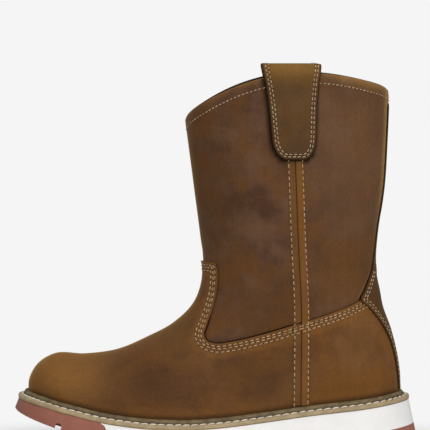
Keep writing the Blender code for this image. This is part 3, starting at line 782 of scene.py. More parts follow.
STREAK_SHARE = 0.28
FLECK = Noise(ZERO, 620.0, 3.0, 0.6)
FLECK_SHARE = 0.55
MIDDLE = 0.5


def grain_group():
    """Pebbles of the grain side and the fine pores between them."""
    inputs = {"Vector": ("Vector", ZERO), "Pebble": ("Float", PEBBLES_A_METRE)}
    tree, given, result = new_group("Leather grain", inputs, {"Height": "Float", "Pores": "Float"})
    cells = put(tree, "ShaderNodeTexVoronoi", {"feature": "SMOOTH_F1"}, Vector=given["Vector"],
                Scale=given["Pebble"], Smoothness=PEBBLE_SMOOTH, Randomness=1.0).outputs["Distance"]
    fine_scale = math_node(tree, "MULTIPLY", given["Pebble"], FINE_GRAIN_SCALE)
    fine = noise(tree, given["Vector"], fine_scale, 4.0, 0.6)
    join(tree, weighed(tree, cells, PEBBLE_HEIGHT, fine, FINE_GRAIN_HEIGHT), result["Height"])
    join(tree, ramp(tree, cells, *PORE_LIMITS), result["Pores"])
    return tree


def noise_of(tree, vector, kind):
    """Noise of a kind. Its shift keeps it from having anything in common with the noise beside it."""
    return noise(tree, vector_node(tree, "ADD", vector, kind.shift), kind.scale, kind.detail, kind.roughness)


def cloud_group():
    """Cloudy patches of two browns, a warmer one drifting through them, and dark smudges."""
    inputs = {"Vector": ("Vector", ZERO), "Light": ("Color", WHITE), "Dark": ("Color", BLACK),
              "Warm": ("Color", WHITE), "Smudge": ("Vector", ONES)}
    tree, given, result = new_group("Leather clouds", inputs, {"Color": "Color", "Patch": "Float"})
    big, small = (noise_of(tree, given["Vector"], kind) for kind in (BIG_PATCH, SMALL_PATCH))
    patch = ramp(tree, weighed(tree, big, BIG_SHARE, small, SMALL_SHARE), *PATCH_LIMITS)
    drift = ramp(tree, noise_of(tree, given["Vector"], DRIFT), *DRIFT_LIMITS, 0.0, DRIFT_SHARE)
    colour = mixed(tree, patch, given["Dark"], given["Light"])
    colour = mixed(tree, drift, colour, given["Warm"])
    rubbed = vector_node(tree, "MULTIPLY", given["Vector"], given["Smudge"])
    smudge = ramp(tree, noise_of(tree, rubbed, SMUDGE), *SMUDGE_LIMITS, 0.0, SMUDGE_SHARE)
    join(tree, mixed(tree, smudge, colour, given["Dark"]), result["Color"])
    join(tree, patch, result["Patch"])
    return tree


def mottle_group():
    """Streaks that run one way and fine flecks, as light and dark on any colour."""
    inputs = {"Color": ("Color", WHITE), "Vector": ("Vector", ZERO), "Stretch": ("Vector", ONES),
              "Amount": ("Float", 1.0)}
    tree, given, result = new_group("Leather mottle", inputs, {"Color": "Color"})
    stretched = vector_node(tree, "MULTIPLY", given["Vector"], given["Stretch"])
    streak = math_node(tree, "SUBTRACT", noise_of(tree, stretched, STREAK), MIDDLE)
    fleck = math_node(tree, "SUBTRACT", noise_of(tree, given["Vector"], FLECK), MIDDLE)
    sway = weighed(tree, streak, STREAK_SHARE, fleck, FLECK_SHARE)
    gain = math_node(tree, "MULTIPLY_ADD", sway, given["Amount"], 1.0)
    grey = put(tree, "ShaderNodeCombineColor", in0=gain, in1=gain, in2=gain).outputs[0]
    join(tree, mixed(tree, 1.0, given["Color"], grey, "MULTIPLY"), result["Color"])
    return tree


LEATHER_GRAIN = grain_group()
LEATHER_CLOUDS = cloud_group()
LEATHER_MOTTLE = mottle_group()
print("groups:", LEATHER_GRAIN.name, LEATHER_CLOUDS.name, LEATHER_MOTTLE.name, sep=" | ")

# %% Soft spots, sewn edges with painted shade, and stitch grooves
SIDE_VIEW = (1.0, 0.0, 1.0)
# Limits of the lap field within which the gap beside a lapped edge is painted dark, as shade.
GAP_SHADE_LINE = (0.905, 0.935)
UNEVEN_PULL = (0.75, 1.0)
GROOVE_ROWS = ("Row 1", "Row 2", "Row 3")


def soft_spot_group():
    """Mask of a soft oval in the side view."""
    inputs = {"Vector": ("Vector", ZERO), "Centre": ("Vector", ZERO), "Reach": ("Vector", ONES)}
    tree, given, result = new_group("Soft spot", inputs, {"Mask": "Float"})
    away = vector_node(tree, "SUBTRACT", given["Vector"], given["Centre"])
    share = vector_node(tree, "DIVIDE", away, given["Reach"])
    far = length_of(tree, vector_node(tree, "MULTIPLY", share, SIDE_VIEW))
    join(tree, ramp(tree, far, 1.0, 0.0), result["Mask"])
    return tree


def sewn_edge_group():
    """Pulled amber or painted highlight, painted shade in gaps and cast shadows, and the raw cut edge."""
    inputs = {"Color": ("Color", WHITE), "Amber": ("Color", WHITE), "Gap": ("Color", BLACK),
              "Cut": ("Color", BLACK), "Patch": ("Float", 0.5)}
    inputs.update({name: ("Float", 0.0) for name in ("Pull", "Lap", "Shade", "Raw")})
    tree, given, result = new_group("Sewn edge and painted shade", inputs, {"Color": "Color"})
    uneven = ramp(tree, given["Patch"], 0.0, 1.0, *UNEVEN_PULL)
    colour = mixed(tree, math_node(tree, "MULTIPLY", given["Pull"], uneven), given["Color"], given["Amber"])
    # Painted shade: the dark line in the gaps beside lapped edges, and the shade field of cast shadows.
    gap = math_node(tree, "MAXIMUM", ramp(tree, given["Lap"], *GAP_SHADE_LINE), given["Shade"])
    colour = mixed(tree, gap, colour, given["Gap"])
    join(tree, mixed(tree, given["Raw"], colour, given["Cut"]), result["Color"])
    return tree


def groove_group():
    """Dip of the leather along up to three rows of stitches, by the distance from the edge."""
    inputs = {name: ("Float", 0.0) for name in ("Edge", *GROOVE_ROWS)}
    inputs["Width"] = ("Float", 1.0)
    tree, given, result = new_group("Stitch grooves", inputs, {"Height": "Float"})
    distance = math_node(tree, "MULTIPLY", math_node(tree, "SUBTRACT", 1.0, given["Edge"]), EDGE_REACH)
    total = None
    for row in GROOVE_ROWS:
        off = math_node(tree, "ABSOLUTE", math_node(tree, "SUBTRACT", distance, given[row]))
        dip = ramp(tree, math_node(tree, "DIVIDE", off, given["Width"]), 0.0, 1.0, -1.0, 0.0)
        total = dip if total is None else math_node(tree, "MINIMUM", total, dip)
    join(tree, total, result["Height"])
    return tree


SOFT_SPOT = soft_spot_group()
SEWN_EDGE_AND_SHADE = sewn_edge_group()
STITCH_GROOVES = groove_group()
print("groups:", SOFT_SPOT.name, SEWN_EDGE_AND_SHADE.name, STITCH_GROOVES.name, sep=" | ")

# %% [markdown]
# ## Leather finishes
# The boot is one hide, but each part shows it differently: golden where it is lasted hard over the toe and
# heel, dark where the ball of the foot flexes, greyer up the shaft. A few soft zones are painted light and
# shade: the toe crown's gold is partly painted highlight, the back of the shaft is paler as painted light
# and the tip of the toe darker as painted shade. One function makes every leather from its tones, its streak
# direction, a few soft zones and the distances of its stitch rows. A little sheen stands for the short nap
# of oiled leather, which catches the light where the surface turns away.

# %% Leather
AMBER = (126, 83, 38)
# Brown of the painted shade in gaps and under cast shadows.
SHADE_BROWN = (30, 19, 9)
CUT_BROWN = (58, 38, 24)
NAP_SHARE = 0.38
NAP_SPREAD = 0.3
NAP_GOLD = (1.0, 0.6, 0.12, 1.0)
GRAIN_DEPTH = 0.12 * MM
GRAIN_STRENGTH = 0.55
GROOVE_DIP = 0.5 * MM
GROOVE_STRENGTH = 0.6
GROOVE_HALF = 1.1
DULL = (0.5, 0.6)
PORE_DULL = 0.12
LEATHER_SHINE = 0.07
SMUDGES = (0.55, 1.0, 1.9)
Tone = namedtuple("Tone", "light dark warm")
Zone = namedtuple("Zone", "x z reach_x reach_z colour share")
NO_ROW = -50.0
NO_ROWS = (NO_ROW, NO_ROW, NO_ROW)


def new_finish(name):
    """Material with a bare Principled shader."""
    material = bpy.data.materials.new(name)
    material.use_nodes = True
    return material, material.node_tree, material.node_tree.nodes["Principled BSDF"]


def field(tree, name):
    return put(tree, "ShaderNodeAttribute", {"attribute_name": name}).outputs["Fac"]


def zoned(tree, colour, spot, zones):
    """Colour with soft zones of other tones laid over it, some of them painted highlight and painted shade.
    """
    for zone in zones:
        centre = tuple(placed([zone.x, 0.0, zone.z])[0])
        reach = (zone.reach_x * MM, 1.0, zone.reach_z * MM)
        mask = use_group(tree, SOFT_SPOT, Vector=spot, Centre=centre, Reach=reach)["Mask"]
        colour = mixed(tree, math_node(tree, "MULTIPLY", mask, zone.share), colour, picked(*zone.colour))
    return colour


def leather(name, tone, stretch, zones=(), rows=NO_ROWS, cut=CUT_BROWN, amber=AMBER, nap=NAP_SHARE):
    """Oiled leather: clouds, zones, painted light and shade, sewn edges, grain and stitch grooves."""
    material, tree, shader = new_finish(name)
    spot = own_spot(tree)
    tones = {label.title(): picked(*pick) for label, pick in tone._asdict().items()}
    clouds = use_group(tree, LEATHER_CLOUDS, Vector=spot, Smudge=SMUDGES, **tones)
    colours = {"Color": zoned(tree, clouds["Color"], spot, zones), "Amber": picked(*amber),
               "Gap": picked(*SHADE_BROWN), "Cut": picked(*cut)}
    fields = {label.title(): field(tree, label) for label in ("pull", "lap", "shade", "raw")}
    sewn = use_group(tree, SEWN_EDGE_AND_SHADE, Patch=clouds["Patch"], **colours, **fields)
    mottle = use_group(tree, LEATHER_MOTTLE, Color=sewn["Color"], Vector=spot, Stretch=stretch, Amount=1.0)
    grain = use_group(tree, LEATHER_GRAIN, Vector=spot, Pebble=PEBBLES_A_METRE)
    named_rows = dict(zip(GROOVE_ROWS, rows))
    grooves = use_group(tree, STITCH_GROOVES, Edge=field(tree, "edge"), Width=GROOVE_HALF, **named_rows)
    dips = put(tree, "ShaderNodeBump", Strength=GROOVE_STRENGTH, Distance=GROOVE_DIP,
               Height=grooves["Height"])
    bumps = put(tree, "ShaderNodeBump", Strength=GRAIN_STRENGTH, Distance=GRAIN_DEPTH,
                Height=grain["Height"], Normal=dips.outputs[0])
    dull = math_node(tree, "ADD", ramp(tree, clouds["Patch"], 0.0, 1.0, *DULL),
                     math_node(tree, "MULTIPLY", grain["Pores"], PORE_DULL))
    feed(tree, shader, Base_Color=mottle["Color"], Roughness=dull, Normal=bumps.outputs[0])
    shader.inputs["Specular IOR Level"].default_value = LEATHER_SHINE
    shader.inputs["Sheen Weight"].default_value = nap
    shader.inputs["Sheen Roughness"].default_value = NAP_SPREAD
    shader.inputs["Sheen Tint"].default_value = NAP_GOLD
    return material


UPRIGHT = (1.0, 1.0, 0.07)
LENGTHWISE = (0.1, 1.0, 1.0)
VAMP_ROWS = (1.8, 3.7, 6.2)
STRAP_ROWS = (1.9, 3.8, NO_ROW)
STAY_ROWS = (1.9, 3.8, NO_ROW)
STAY_NAP = 0.05
LAPPED_CUT = (92, 61, 32)

# On the shaft, the paler zone high at the back is painted light, and its amber is pale enough to paint a
# highlight down the back edge.
shaft_leather = leather(
    "Shaft leather", Tone((104, 74, 54), (77, 52, 36), (101, 65, 33)), UPRIGHT,
    [Zone(105.0, 225.0, 75.0, 120.0, (112, 80, 55), 0.65), Zone(-5.0, 190.0, 45.0, 110.0, (78, 53, 30), 0.5),
     Zone(30.0, 105.0, 60.0, 30.0, (84, 54, 28), 0.6), Zone(95.0, 130.0, 55.0, 45.0, (104, 69, 36), 0.8)],
    cut=(156, 110, 54), amber=(178, 133, 76))
# On the vamp, the golden toe crown is partly pulled colour and partly painted highlight, and the dark golden
# zone at the tip of the toe is painted shade.
vamp_leather = leather(
    "Vamp leather", Tone((107, 71, 40), (88, 58, 34), (111, 72, 34)), LENGTHWISE,
    [Zone(-120.0, 58.0, 72.0, 44.0, (131, 89, 43), 0.9), Zone(-146.0, 46.0, 18.0, 30.0, (118, 74, 20), 0.8),
     Zone(-48.0, 52.0, 56.0, 36.0, (75, 49, 30), 0.8), Zone(-25.0, 92.0, 30.0, 40.0, (100, 69, 36), 0.6),
     Zone(30.0, 58.0, 46.0, 34.0, (86, 57, 30), 0.6)],
    VAMP_ROWS, LAPPED_CUT)
counter_leather = leather(
    "Counter leather", Tone((118, 80, 44), (102, 67, 36), (120, 77, 34)), UPRIGHT,
    [Zone(100.0, 40.0, 60.0, 30.0, (103, 67, 28), 0.6)], VAMP_ROWS, LAPPED_CUT)
stay_leather = leather(
    "Back stay leather", Tone((91, 64, 38), (76, 52, 31), (86, 57, 29)), UPRIGHT,
    rows=STAY_ROWS, nap=STAY_NAP)
strap_leather = leather(
    "Strap leather", Tone((98, 70, 42), (84, 60, 37), (94, 65, 33)), UPRIGHT,
    [Zone(58.0, 294.0, 60.0, 20.0, (126, 90, 42), 0.9)], STRAP_ROWS, (30, 22, 17))
seam_leather = leather("Seam leather", Tone((104, 72, 44), (94, 63, 37), (104, 69, 35)), UPRIGHT)
print("leathers made")

# %% [markdown]
# ## Upper and lining
# The upper is one hollow leather wall, open at the collar and underneath, with a dark cloth lining inside.
# The wall could be a thickened surface with a modifier, but built as a sheet it gets a rounded collar edge.
# A few soft troughs are pressed in round the ankle, where the real leather gives.

# %% Lines that the lapped pieces are sewn along
GAP = 0.3
OVERLAY = 1.1
OVERLAY_TOP = GAP + OVERLAY
Spot = namedtuple("Spot", "x z")
VAMP_EDGE = [
    Spot(0.4, 142.3), Spot(1.9, 138.0), Spot(2.3, 130.6), Spot(1.3, 119.6), Spot(-2.0, 106.6),
    Spot(-6.7, 94.0), Spot(-8.6, 87.6), Spot(-6.0, 83.0), Spot(0.6, 81.1), Spot(12.3, 82.4),
    Spot(28.0, 85.8), Spot(46.0, 90.6),
]
COUNTER_EDGE = [Spot(88.0, 103.8), Spot(102.0, 108.8), Spot(114.0, 114.2), Spot(170.0, 115.0)]
SEAM_LINE = [
    Spot(61.0, 230.0), Spot(63.7, 162.0), Spot(66.4, 99.5), Spot(66.2, 60.0), Spot(65.6, 0.0),
]
SEAM_TOP_Z = 96.9
LINE_STEP = 0.5
OUTLINE_MARGIN = 0.05
PAST_TONGUE_X = -20.0
SPOT_POINTS = 6


def seam_x(z):
    line = SEAM_LINE[::-1]
    return smooth(column(line, "z"), column(line, "x"), np.asarray(z, float))


def on_boot(line):
    """The part of a side-view line that lies on the boot, as points on both sides of it."""
    front, back = (outline_x(edge, line[:, 1]) for edge in (FRONT_LINE, BACK_LINE))
    x, z = line[(line[:, 0] > front + OUTLINE_MARGIN) & (line[:, 0] < back - OUTLINE_MARGIN)].T
    return np.vstack([wall_spot(x, z, np.full(len(x), side)) for side in (-1, 1)])


vamp_edge = flowing(VAMP_EDGE, row_numbers(VAMP_EDGE, SPOT_POINTS))
counter_edge = flowing(COUNTER_EDGE, row_numbers(COUNTER_EDGE, SPOT_POINTS))
tongue_top = np.array([[PAST_TONGUE_X, VAMP_EDGE[0].z]])
sewn_line = np.vstack([tongue_top, vamp_edge, [[float(seam_x(SEAM_TOP_Z)), SEAM_TOP_Z]], counter_edge])
SEWN_POINTS = on_boot(finely(sewn_line, LINE_STEP))
print("sewn line of", len(SEWN_POINTS), "points")

# %% Outlines of vamp and counter in the side view
PAST_TOE_X = -190.0
PAST_HEEL_X = 170.0
SEAM_CLEARANCE = 0.7
SEAM_SPOTS = 12
seam_z = np.linspace(SEAM_TOP_Z, 0.0, SEAM_SPOTS)
vamp_seam = np.stack([seam_x(seam_z) - SEAM_CLEARANCE, seam_z], -1)
counter_seam = np.stack([seam_x(seam_z) + SEAM_CLEARANCE, seam_z], -1)[::-1]
VAMP_OUTLINE = np.vstack([vamp_edge, vamp_seam, [[PAST_TOE_X, 0.0], [PAST_TOE_X, VAMP_EDGE[0].z]]])
COUNTER_OUTLINE = np.vstack([counter_seam, counter_edge, [[PAST_HEEL_X, 0.0]]])
print("outlines of", len(VAMP_OUTLINE), "and", len(COUNTER_OUTLINE), "spots")

# %% Back stay and pull straps as bare strips
StayRow = namedtuple("StayRow", "z half")
BACK_STAY = [
    StayRow(44.2, 8.0), StayRow(54.0, 9.2), StayRow(62.0, 9.9), StayRow(72.0, 10.2),
    StayRow(81.0, 11.3), StayRow(91.0, 14.1), StayRow(98.0, 16.3), StayRow(104.0, 19.1),
    StayRow(109.5, 22.4), StayRow(112.5, 24.6), StayRow(114.5, 25.1), StayRow(117.0, 24.4),
    StayRow(120.5, 22.4), StayRow(125.0, 20.0), StayRow(128.5, 17.9), StayRow(132.5, 15.1),
    StayRow(137.0, 12.1), StayRow(144.0, 9.3), StayRow(152.0, 7.4), StayRow(160.0, 6.1),
    StayRow(170.0, 5.3),
]
STAY_STRAIGHT_Z = 182.0
STAY_TOP_Z = 273.2
STAY_HALF = 5.0
BACK_STAY += [StayRow(z, STAY_HALF) for z in np.linspace(STAY_STRAIGHT_Z, STAY_TOP_Z, 9)]
COUNTER_BACK_Z = 115.5
STAY_LAP_STEP = 18.0
STAY_LIFT = 0.2
STAY_COLUMNS = 41
STAY_SPANS = 5
STAY_SEARCH = np.linspace(0, 30, 361)


def stay_strip():
    """Points of the back stay on the bare wall, a row for each height."""
    rows = []
    for z, half in flowing(BACK_STAY, row_numbers(BACK_STAY, STAY_SPANS)):
        across = np.linspace(-half, half, STAY_COLUMNS)
        back_x = outline_x(BACK_LINE, z)
        outer, inner, swing = half_widths(back_x - STAY_SEARCH, np.full(len(STAY_SEARCH), z))
        outer_depth = np.interp(-across, outer - swing, STAY_SEARCH)
        inner_depth = np.interp(across, inner + swing, STAY_SEARCH)
        depth = np.where(across < 0, outer_depth, inner_depth)
        rows.append(np.stack([back_x - depth, across, np.full_like(across, z)], -1))
    return np.array(rows)


StrapRow = namedtuple("StrapRow", "z off half")
PULL_STRAP = [
    StrapRow(223.3, 0.3, 8.0), StrapRow(224.4, 0.3, 10.3), StrapRow(227.2, 0.3, 13.1),
    StrapRow(231.0, 0.35, 15.3), StrapRow(235.5, 0.4, 16.5), StrapRow(241.0, 0.4, 17.0),
    StrapRow(254.0, 0.5, 17.8), StrapRow(268.0, 0.8, 18.7), StrapRow(276.0, 1.2, 19.6),
    StrapRow(283.2, 1.8, 20.5), StrapRow(287.8, 2.1, 21.2), StrapRow(291.0, 1.4, 21.9),
    StrapRow(293.2, -0.2, 22.5), StrapRow(293.5, -1.9, 22.5), StrapRow(292.2, -3.7, 22.2),
    StrapRow(288.8, -4.7, 21.4), StrapRow(282.0, -4.2, 20.4), StrapRow(268.0, -3.2, 18.8),
    StrapRow(250.0, -2.7, 17.7), StrapRow(238.0, -2.6, 17.0),
]
STRAP_TOP_X = 58.4
STRAP_LEAN = -0.0387
STRAP_TOP_Z = 295.0
STRAP_COLUMNS = 41
STRAP_ROUND = 0.7
STRAP_SPANS = 6
STRAP_FOLD = 13


def strap_strip(side):
    """Points of a pull strap's inner face, from its outer end over the collar to its inner end."""
    rows = flowing(PULL_STRAP, row_numbers(PULL_STRAP, STRAP_SPANS))
    z, off, half = (part[:, None] for part in rows.T)
    across = (half - STRAP_ROUND) * np.linspace(-1, 1, STRAP_COLUMNS)[None, :]
    x = STRAP_TOP_X + STRAP_LEAN * (z - STRAP_TOP_Z) + across
    z = z + 0 * x
    flat = spot_normals(x, z, np.full(x.shape, side))
    flat[..., 2] = 0
    flat /= np.linalg.norm(flat, axis=-1, keepdims=True)
    strip = wall_spot(x, z, np.full(x.shape, side)) + flat * (off + 0 * x)[..., None]
    return strip[:, ::-side]


STAY_STRIP = stay_strip()
STRAP_STRIPS = {side: strap_strip(side) for side in (-1, 1)}
print("back stay", STAY_STRIP.shape[:2], "pull strap", STRAP_STRIPS[-1].shape[:2])

# %% Upper
UPPER_COLUMNS = 340
UPPER_FOOT_ROWS = 11
UPPER_LEG_ROWS = 91
LEATHER = 1.6
WALL = 2.2
upper_numbers = section_numbers(0, UPPER_FOOT_ROWS, COLLAR_SECTION, UPPER_LEG_ROWS)
Trough = namedtuple("Trough", "x z reach_x reach_z depth")
TROUGHS = [
    Trough(14.0, 116.0, 30.0, 4.5, 0.55), Trough(24.0, 127.0, 26.0, 4.0, 0.4),
    Trough(6.0, 151.0, 24.0, 5.0, 0.35), Trough(98.0, 138.0, 24.0, 5.0, 0.4),
    Trough(40.0, 106.0, 22.0, 3.5, 0.35),
]


def pressed(grid, normals):
    """Soft troughs pressed into the leather."""
    depth = 0.0
    for dent in TROUGHS:
        far = ((grid[..., 0] - dent.x) / dent.reach_x) ** 2 + ((grid[..., 2] - dent.z) / dent.reach_z) ** 2
        depth = depth + dent.depth * np.exp(-far)
    return grid - normals * depth[..., None]


def around_sheet(grid, normals, inset):
    """Sheet that closes round the boot, set in from the grid."""
    points = (grid - normals * inset).reshape(-1, 3)
    return Sheet(points, normals.reshape(-1, 3), grid_faces(*grid.shape[:2], True)[:, ::-1])


TONGUE_BACK = 20.0
TONGUE_HEIGHTS = (96.0, 116.0)
TONGUE_FADE = 3.0
COUNTER_FADE = 0.8
STAY_TUCK = (263.5, 268.5)
STAY_STRAIGHT_FROM = (140.0, 175.0)
STAY_FADE = 3.0
BACK_HALF = (70.0, 100.0)
BACK_HIGHLIGHT_FROM = (172.0, 215.0)
STRAP_CORNER_Z = 230.0
HEM_BULGE = 1.0
HEM_HEIGHTS = (262.0, 266.5)
HEM_ROLL = (269.5, 275.5)
HEM_ROLL_SHARE = 0.7
HEM_WIDTH = (STAY_HALF - 1, STAY_HALF + 5)
# Pulled amber at the collar rim; its extra paleness at the back and the back-edge band are painted
# highlight.
RIM_PALE = (1.0, 2.6)
RIM_PULL_AND_BACK_HIGHLIGHT = (0.2, 0.35)
RIM_WARM = (3.0, 8.0)
RIM_WARM_PULL_AND_BACK_HIGHLIGHT = (0.05, 0.14)
KITE_PALE = (1.2, 2.8)
KITE_PULL = 0.3
BACK_HIGHLIGHT_REACH = (1.0, 12.0)
BACK_HIGHLIGHT = 0.7
# Painted shadow cast by the straps, and painted shade beside lapped edges.
STRAP_SHADOW_AHEAD = (1.2, 6.4)
STRAP_SHADOW_BEHIND = (0.8, 3.2)
STRAP_SHADE_BEHIND = 0.5
STRAP_SHADOW_BELOW = (1.8, 3.4)
LAP_SHADOW = (0.0, 5.0)
LAP_SHADE = 0.25


def fading(distance, reach):
    """Field that is 1 up to the near limit of its reach and eases to 0 at the far one."""
    return 1 - ease(distance, *reach)


def upper_fields(points):
    """Nearness to lapped edges, painted shade and shadow, and pulled amber with a painted back highlight."""
    x, z = points[:, 0], points[:, 2]
    under = np.maximum(inside_outline(x, z, VAMP_OUTLINE), inside_outline(x, z, COUNTER_OUTLINE))
    lap = distance_to(points, SEWN_POINTS) * np.where(under > 0, -1, 1)
    outside = STRAP_FOLD * STRAP_SPANS
    strap_rim = np.vstack([strip[:outside, [0, -1]].reshape(-1, 3) for strip in STRAP_STRIPS.values()]
                          + [strip[0] for strip in STRAP_STRIPS.values()])
    stay_rim = STAY_STRIP[:, [0, -1]].reshape(-1, 3)
    to_strap, to_stay = distance_to(points, strap_rim), distance_to(points, stay_rim)
    to_rim = distance_to(points, points[-UPPER_COLUMNS:])
    back, straight = ease(x, *BACK_HALF), ease(z, *STAY_STRAIGHT_FROM)
    # Pulled amber, plus painted highlight towards the back and down the back edge.
    pulls_and_highlights = [(front + more * back) * fading(to_rim, reach)
             for (front, more), reach in ((RIM_PULL_AND_BACK_HIGHLIGHT, RIM_PALE), (RIM_WARM_PULL_AND_BACK_HIGHLIGHT, RIM_WARM))]
    pulls_and_highlights += [KITE_PULL * (1 - straight) * fading(to_stay, KITE_PALE),
              BACK_HIGHLIGHT * ease(z, *BACK_HIGHLIGHT_FROM) * fading(to_stay, BACK_HIGHLIGHT_REACH)]
    # The lap field paints a dark line of shade in the gap beside lapped edges and along the stay.
    lap = lap + TONGUE_FADE * ease(z, *TONGUE_HEIGHTS) * (x < TONGUE_BACK) + COUNTER_FADE * (x > seam_x(z))
    near = np.maximum(nearness(lap), nearness(to_stay + COUNTER_FADE + STAY_FADE * straight))
    # Painted shadow of the straps ahead of, behind and below them, and painted shade beside lapped edges.
    ahead = x < STRAP_TOP_X + STRAP_LEAN * (z - STRAP_TOP_Z)
    shades = [ahead * fading(to_strap, STRAP_SHADOW_AHEAD),
              STRAP_SHADE_BEHIND * ~ahead * fading(to_strap, STRAP_SHADOW_BEHIND),
              (z < STRAP_CORNER_Z) * fading(to_strap, STRAP_SHADOW_BELOW),
              LAP_SHADE * fading(np.abs(lap), LAP_SHADOW)]
    # The pull field holds both the pulled amber and the painted highlight at the back.
    return {"lap": near, "shade": np.max(shades, 0), "pull": np.max(pulls_and_highlights, 0), "edge": nearness(to_rim)}


def hem_over_stay(grid, normals):
    """Collar hem pushed out at the back, where the end of the stay is tucked under it."""
    y, z = grid[..., 1], grid[..., 2]
    over = (grid[..., 0] > STRAP_TOP_X) * fading(np.abs(y), HEM_WIDTH)
    push = HEM_BULGE * over * ease(z, *HEM_HEIGHTS) * (1 - HEM_ROLL_SHARE * ease(z, *HEM_ROLL))
    return grid + normals * push[..., None]


smooth_upper = upper_grid(upper_numbers, UPPER_COLUMNS)
upper_normals = grid_normals(smooth_upper)
upper_skin = hem_over_stay(pressed(smooth_upper, upper_normals), upper_normals)
upper_sheet = around_sheet(upper_skin, upper_normals, LEATHER)
skin_fields = upper_fields(upper_skin.reshape(-1, 3))
upper = sheet_piece("upper_leather", upper_sheet, LEATHER, shaft_leather, skin_fields)

# %% Cloth finish
CLOTH_SHINE = 0.04


def cloth_finish(name, light, dark, threads):
    """Plain weave: two sets of waves at right angles, and a little fluff."""
    material, tree, shader = new_finish(name)
    spot = own_spot(tree)
    sizes = {"Vector": spot, "Scale": threads, "Distortion": 0.6}
    warp, weft = (put(tree, "ShaderNodeTexWave", {"bands_direction": way}, **sizes) for way in "XZ")
    weave = math_node(tree, "MAXIMUM", warp.outputs["Fac"], weft.outputs["Fac"])
    fluff = noise(tree, spot, 240.0, 4.0, 0.65)
    share = math_node(tree, "MULTIPLY", weave, ramp(tree, fluff, 0.25, 0.75, 0.5, 1.0))
    bump = put(tree, "ShaderNodeBump", Strength=0.5, Distance=0.3 * MM, Height=weave)
    feed(tree, shader, Base_Color=mixed(tree, share, picked(*dark), picked(*light)),
         Roughness=ramp(tree, fluff, 0.2, 0.8, 0.8, 0.95), Normal=bump.outputs[0])
    shader.inputs["Specular IOR Level"].default_value = CLOTH_SHINE
    return material


lining_cloth = cloth_finish("Lining cloth", (58, 45, 36), (34, 26, 21), 420.0)
print("finish:", lining_cloth.name)

# %% Lining
LINING_TOP = COLLAR_SECTION - 0.02
LINING_RISE = 1.5
LINING_BACK_RISE = 0.3
LINING_GAP = 0.1
LINING_FOOT = 0.15
LINING_COLUMNS = 160
LINING_FOOT_ROWS = 14
LINING_LEG_ROWS = 50
LINING_BACK = (0.8, 0.97)
lining_numbers = section_numbers(LINING_FOOT, LINING_FOOT_ROWS, LINING_TOP, LINING_LEG_ROWS)
lining_grid = upper_grid(lining_numbers, LINING_COLUMNS)
lining_normals = grid_normals(lining_grid)
collar_front, collar_back = SECTIONS[-1].front_x, SECTIONS[-1].back_x
lining_to_back = (lining_grid[-1, :, 0] - collar_front) / (collar_back - collar_front)
lining_grid[-1, :, 2] += LINING_RISE + LINING_BACK_RISE * ease(lining_to_back, *LINING_BACK)
lining_sheet = around_sheet(lining_grid, lining_normals, WALL)
lining = sheet_piece("lining", lining_sheet, WALL - LEATHER - LINING_GAP, lining_cloth, {}, LINING_GAP)

# %% [markdown]
# ## Vamp and counter
# The vamp wraps the front of the foot and the counter the heel. Both are laid over the upper and sewn along
# one swooping line. A Boolean could cut them out, but it leaves a ragged fan of faces along the cut. Here
# the grid's own points are moved onto the outline, which leaves a clean border to round off.

# %% Lay a lapped piece over the upper
LAPPED_COLUMNS = 400
LAPPED_ROWS = 131
LAPPED_TOP = 10.8
BED_GAP = 0.5
BAND = (8.6, 12.5)
VAMP_PULL = 0.5
COUNTER_PULL = 0.6
# Painted shade just above the welt: darker, and tinted more golden.
WELT_SHADE = 0.62
WELT_SHADE_REACH = (0.0, 5.0)
WELT_SHADE_TINT = 0.3
WELT_SHADE_TINT_REACH = (2.0, 10.0)
lapped_grid = upper_grid(np.linspace(0, LAPPED_TOP, LAPPED_ROWS), LAPPED_COLUMNS)
lapped_normals = grid_normals(lapped_grid)
lapped_grid[0, :, 2] += BED_GAP


def lapped_piece(name, outline_spots, material, pulled):
    """Leather piece cut from a second form over the upper, and its grain side for the stitches."""
    inside = inside_outline(lapped_grid[..., 0], lapped_grid[..., 2], outline_spots)
    points, faces, used = trimmed(lapped_grid, inside)
    normals = lapped_normals.reshape(-1, 3)[used]
    to_edge = distance_to(points, SEWN_POINTS)
    over_welt = points[:, 2] - by_x(BED, "z", points[:, 0]) - WELT_HEIGHT
    # Pulled band along the sewn edge, and the golden tint of the painted shade above the welt.
    pull = np.maximum(pulled * fading(to_edge, BAND), WELT_SHADE_TINT * fading(over_welt, WELT_SHADE_TINT_REACH))
    fields = {"edge": nearness(to_edge), "pull": pull,
              "shade": WELT_SHADE * fading(over_welt, WELT_SHADE_REACH)}
    sheet = Sheet(points + normals * GAP, normals, faces[:, ::-1])
    piece = sheet_piece(name, sheet, OVERLAY, material, fields)
    return piece, Sheet(points + normals * OVERLAY_TOP, normals, faces), to_edge


vamp, vamp_skin, vamp_to_edge = lapped_piece("vamp_leather", VAMP_OUTLINE, vamp_leather, VAMP_PULL)
counter, counter_skin, counter_to_edge = lapped_piece(
    "counter_leather", COUNTER_OUTLINE, counter_leather, COUNTER_PULL)

# %% [markdown]
# ## Back stay, side seams and pull straps
# The stay covers the back seam, the straps pull the boot on, and the side seams are butted panels pressed
# open and sewn down on both sides. They could be ribbons along curves, but each must hug the boot, so all
# three are strips of points on the same wall function, thickened as sheets.

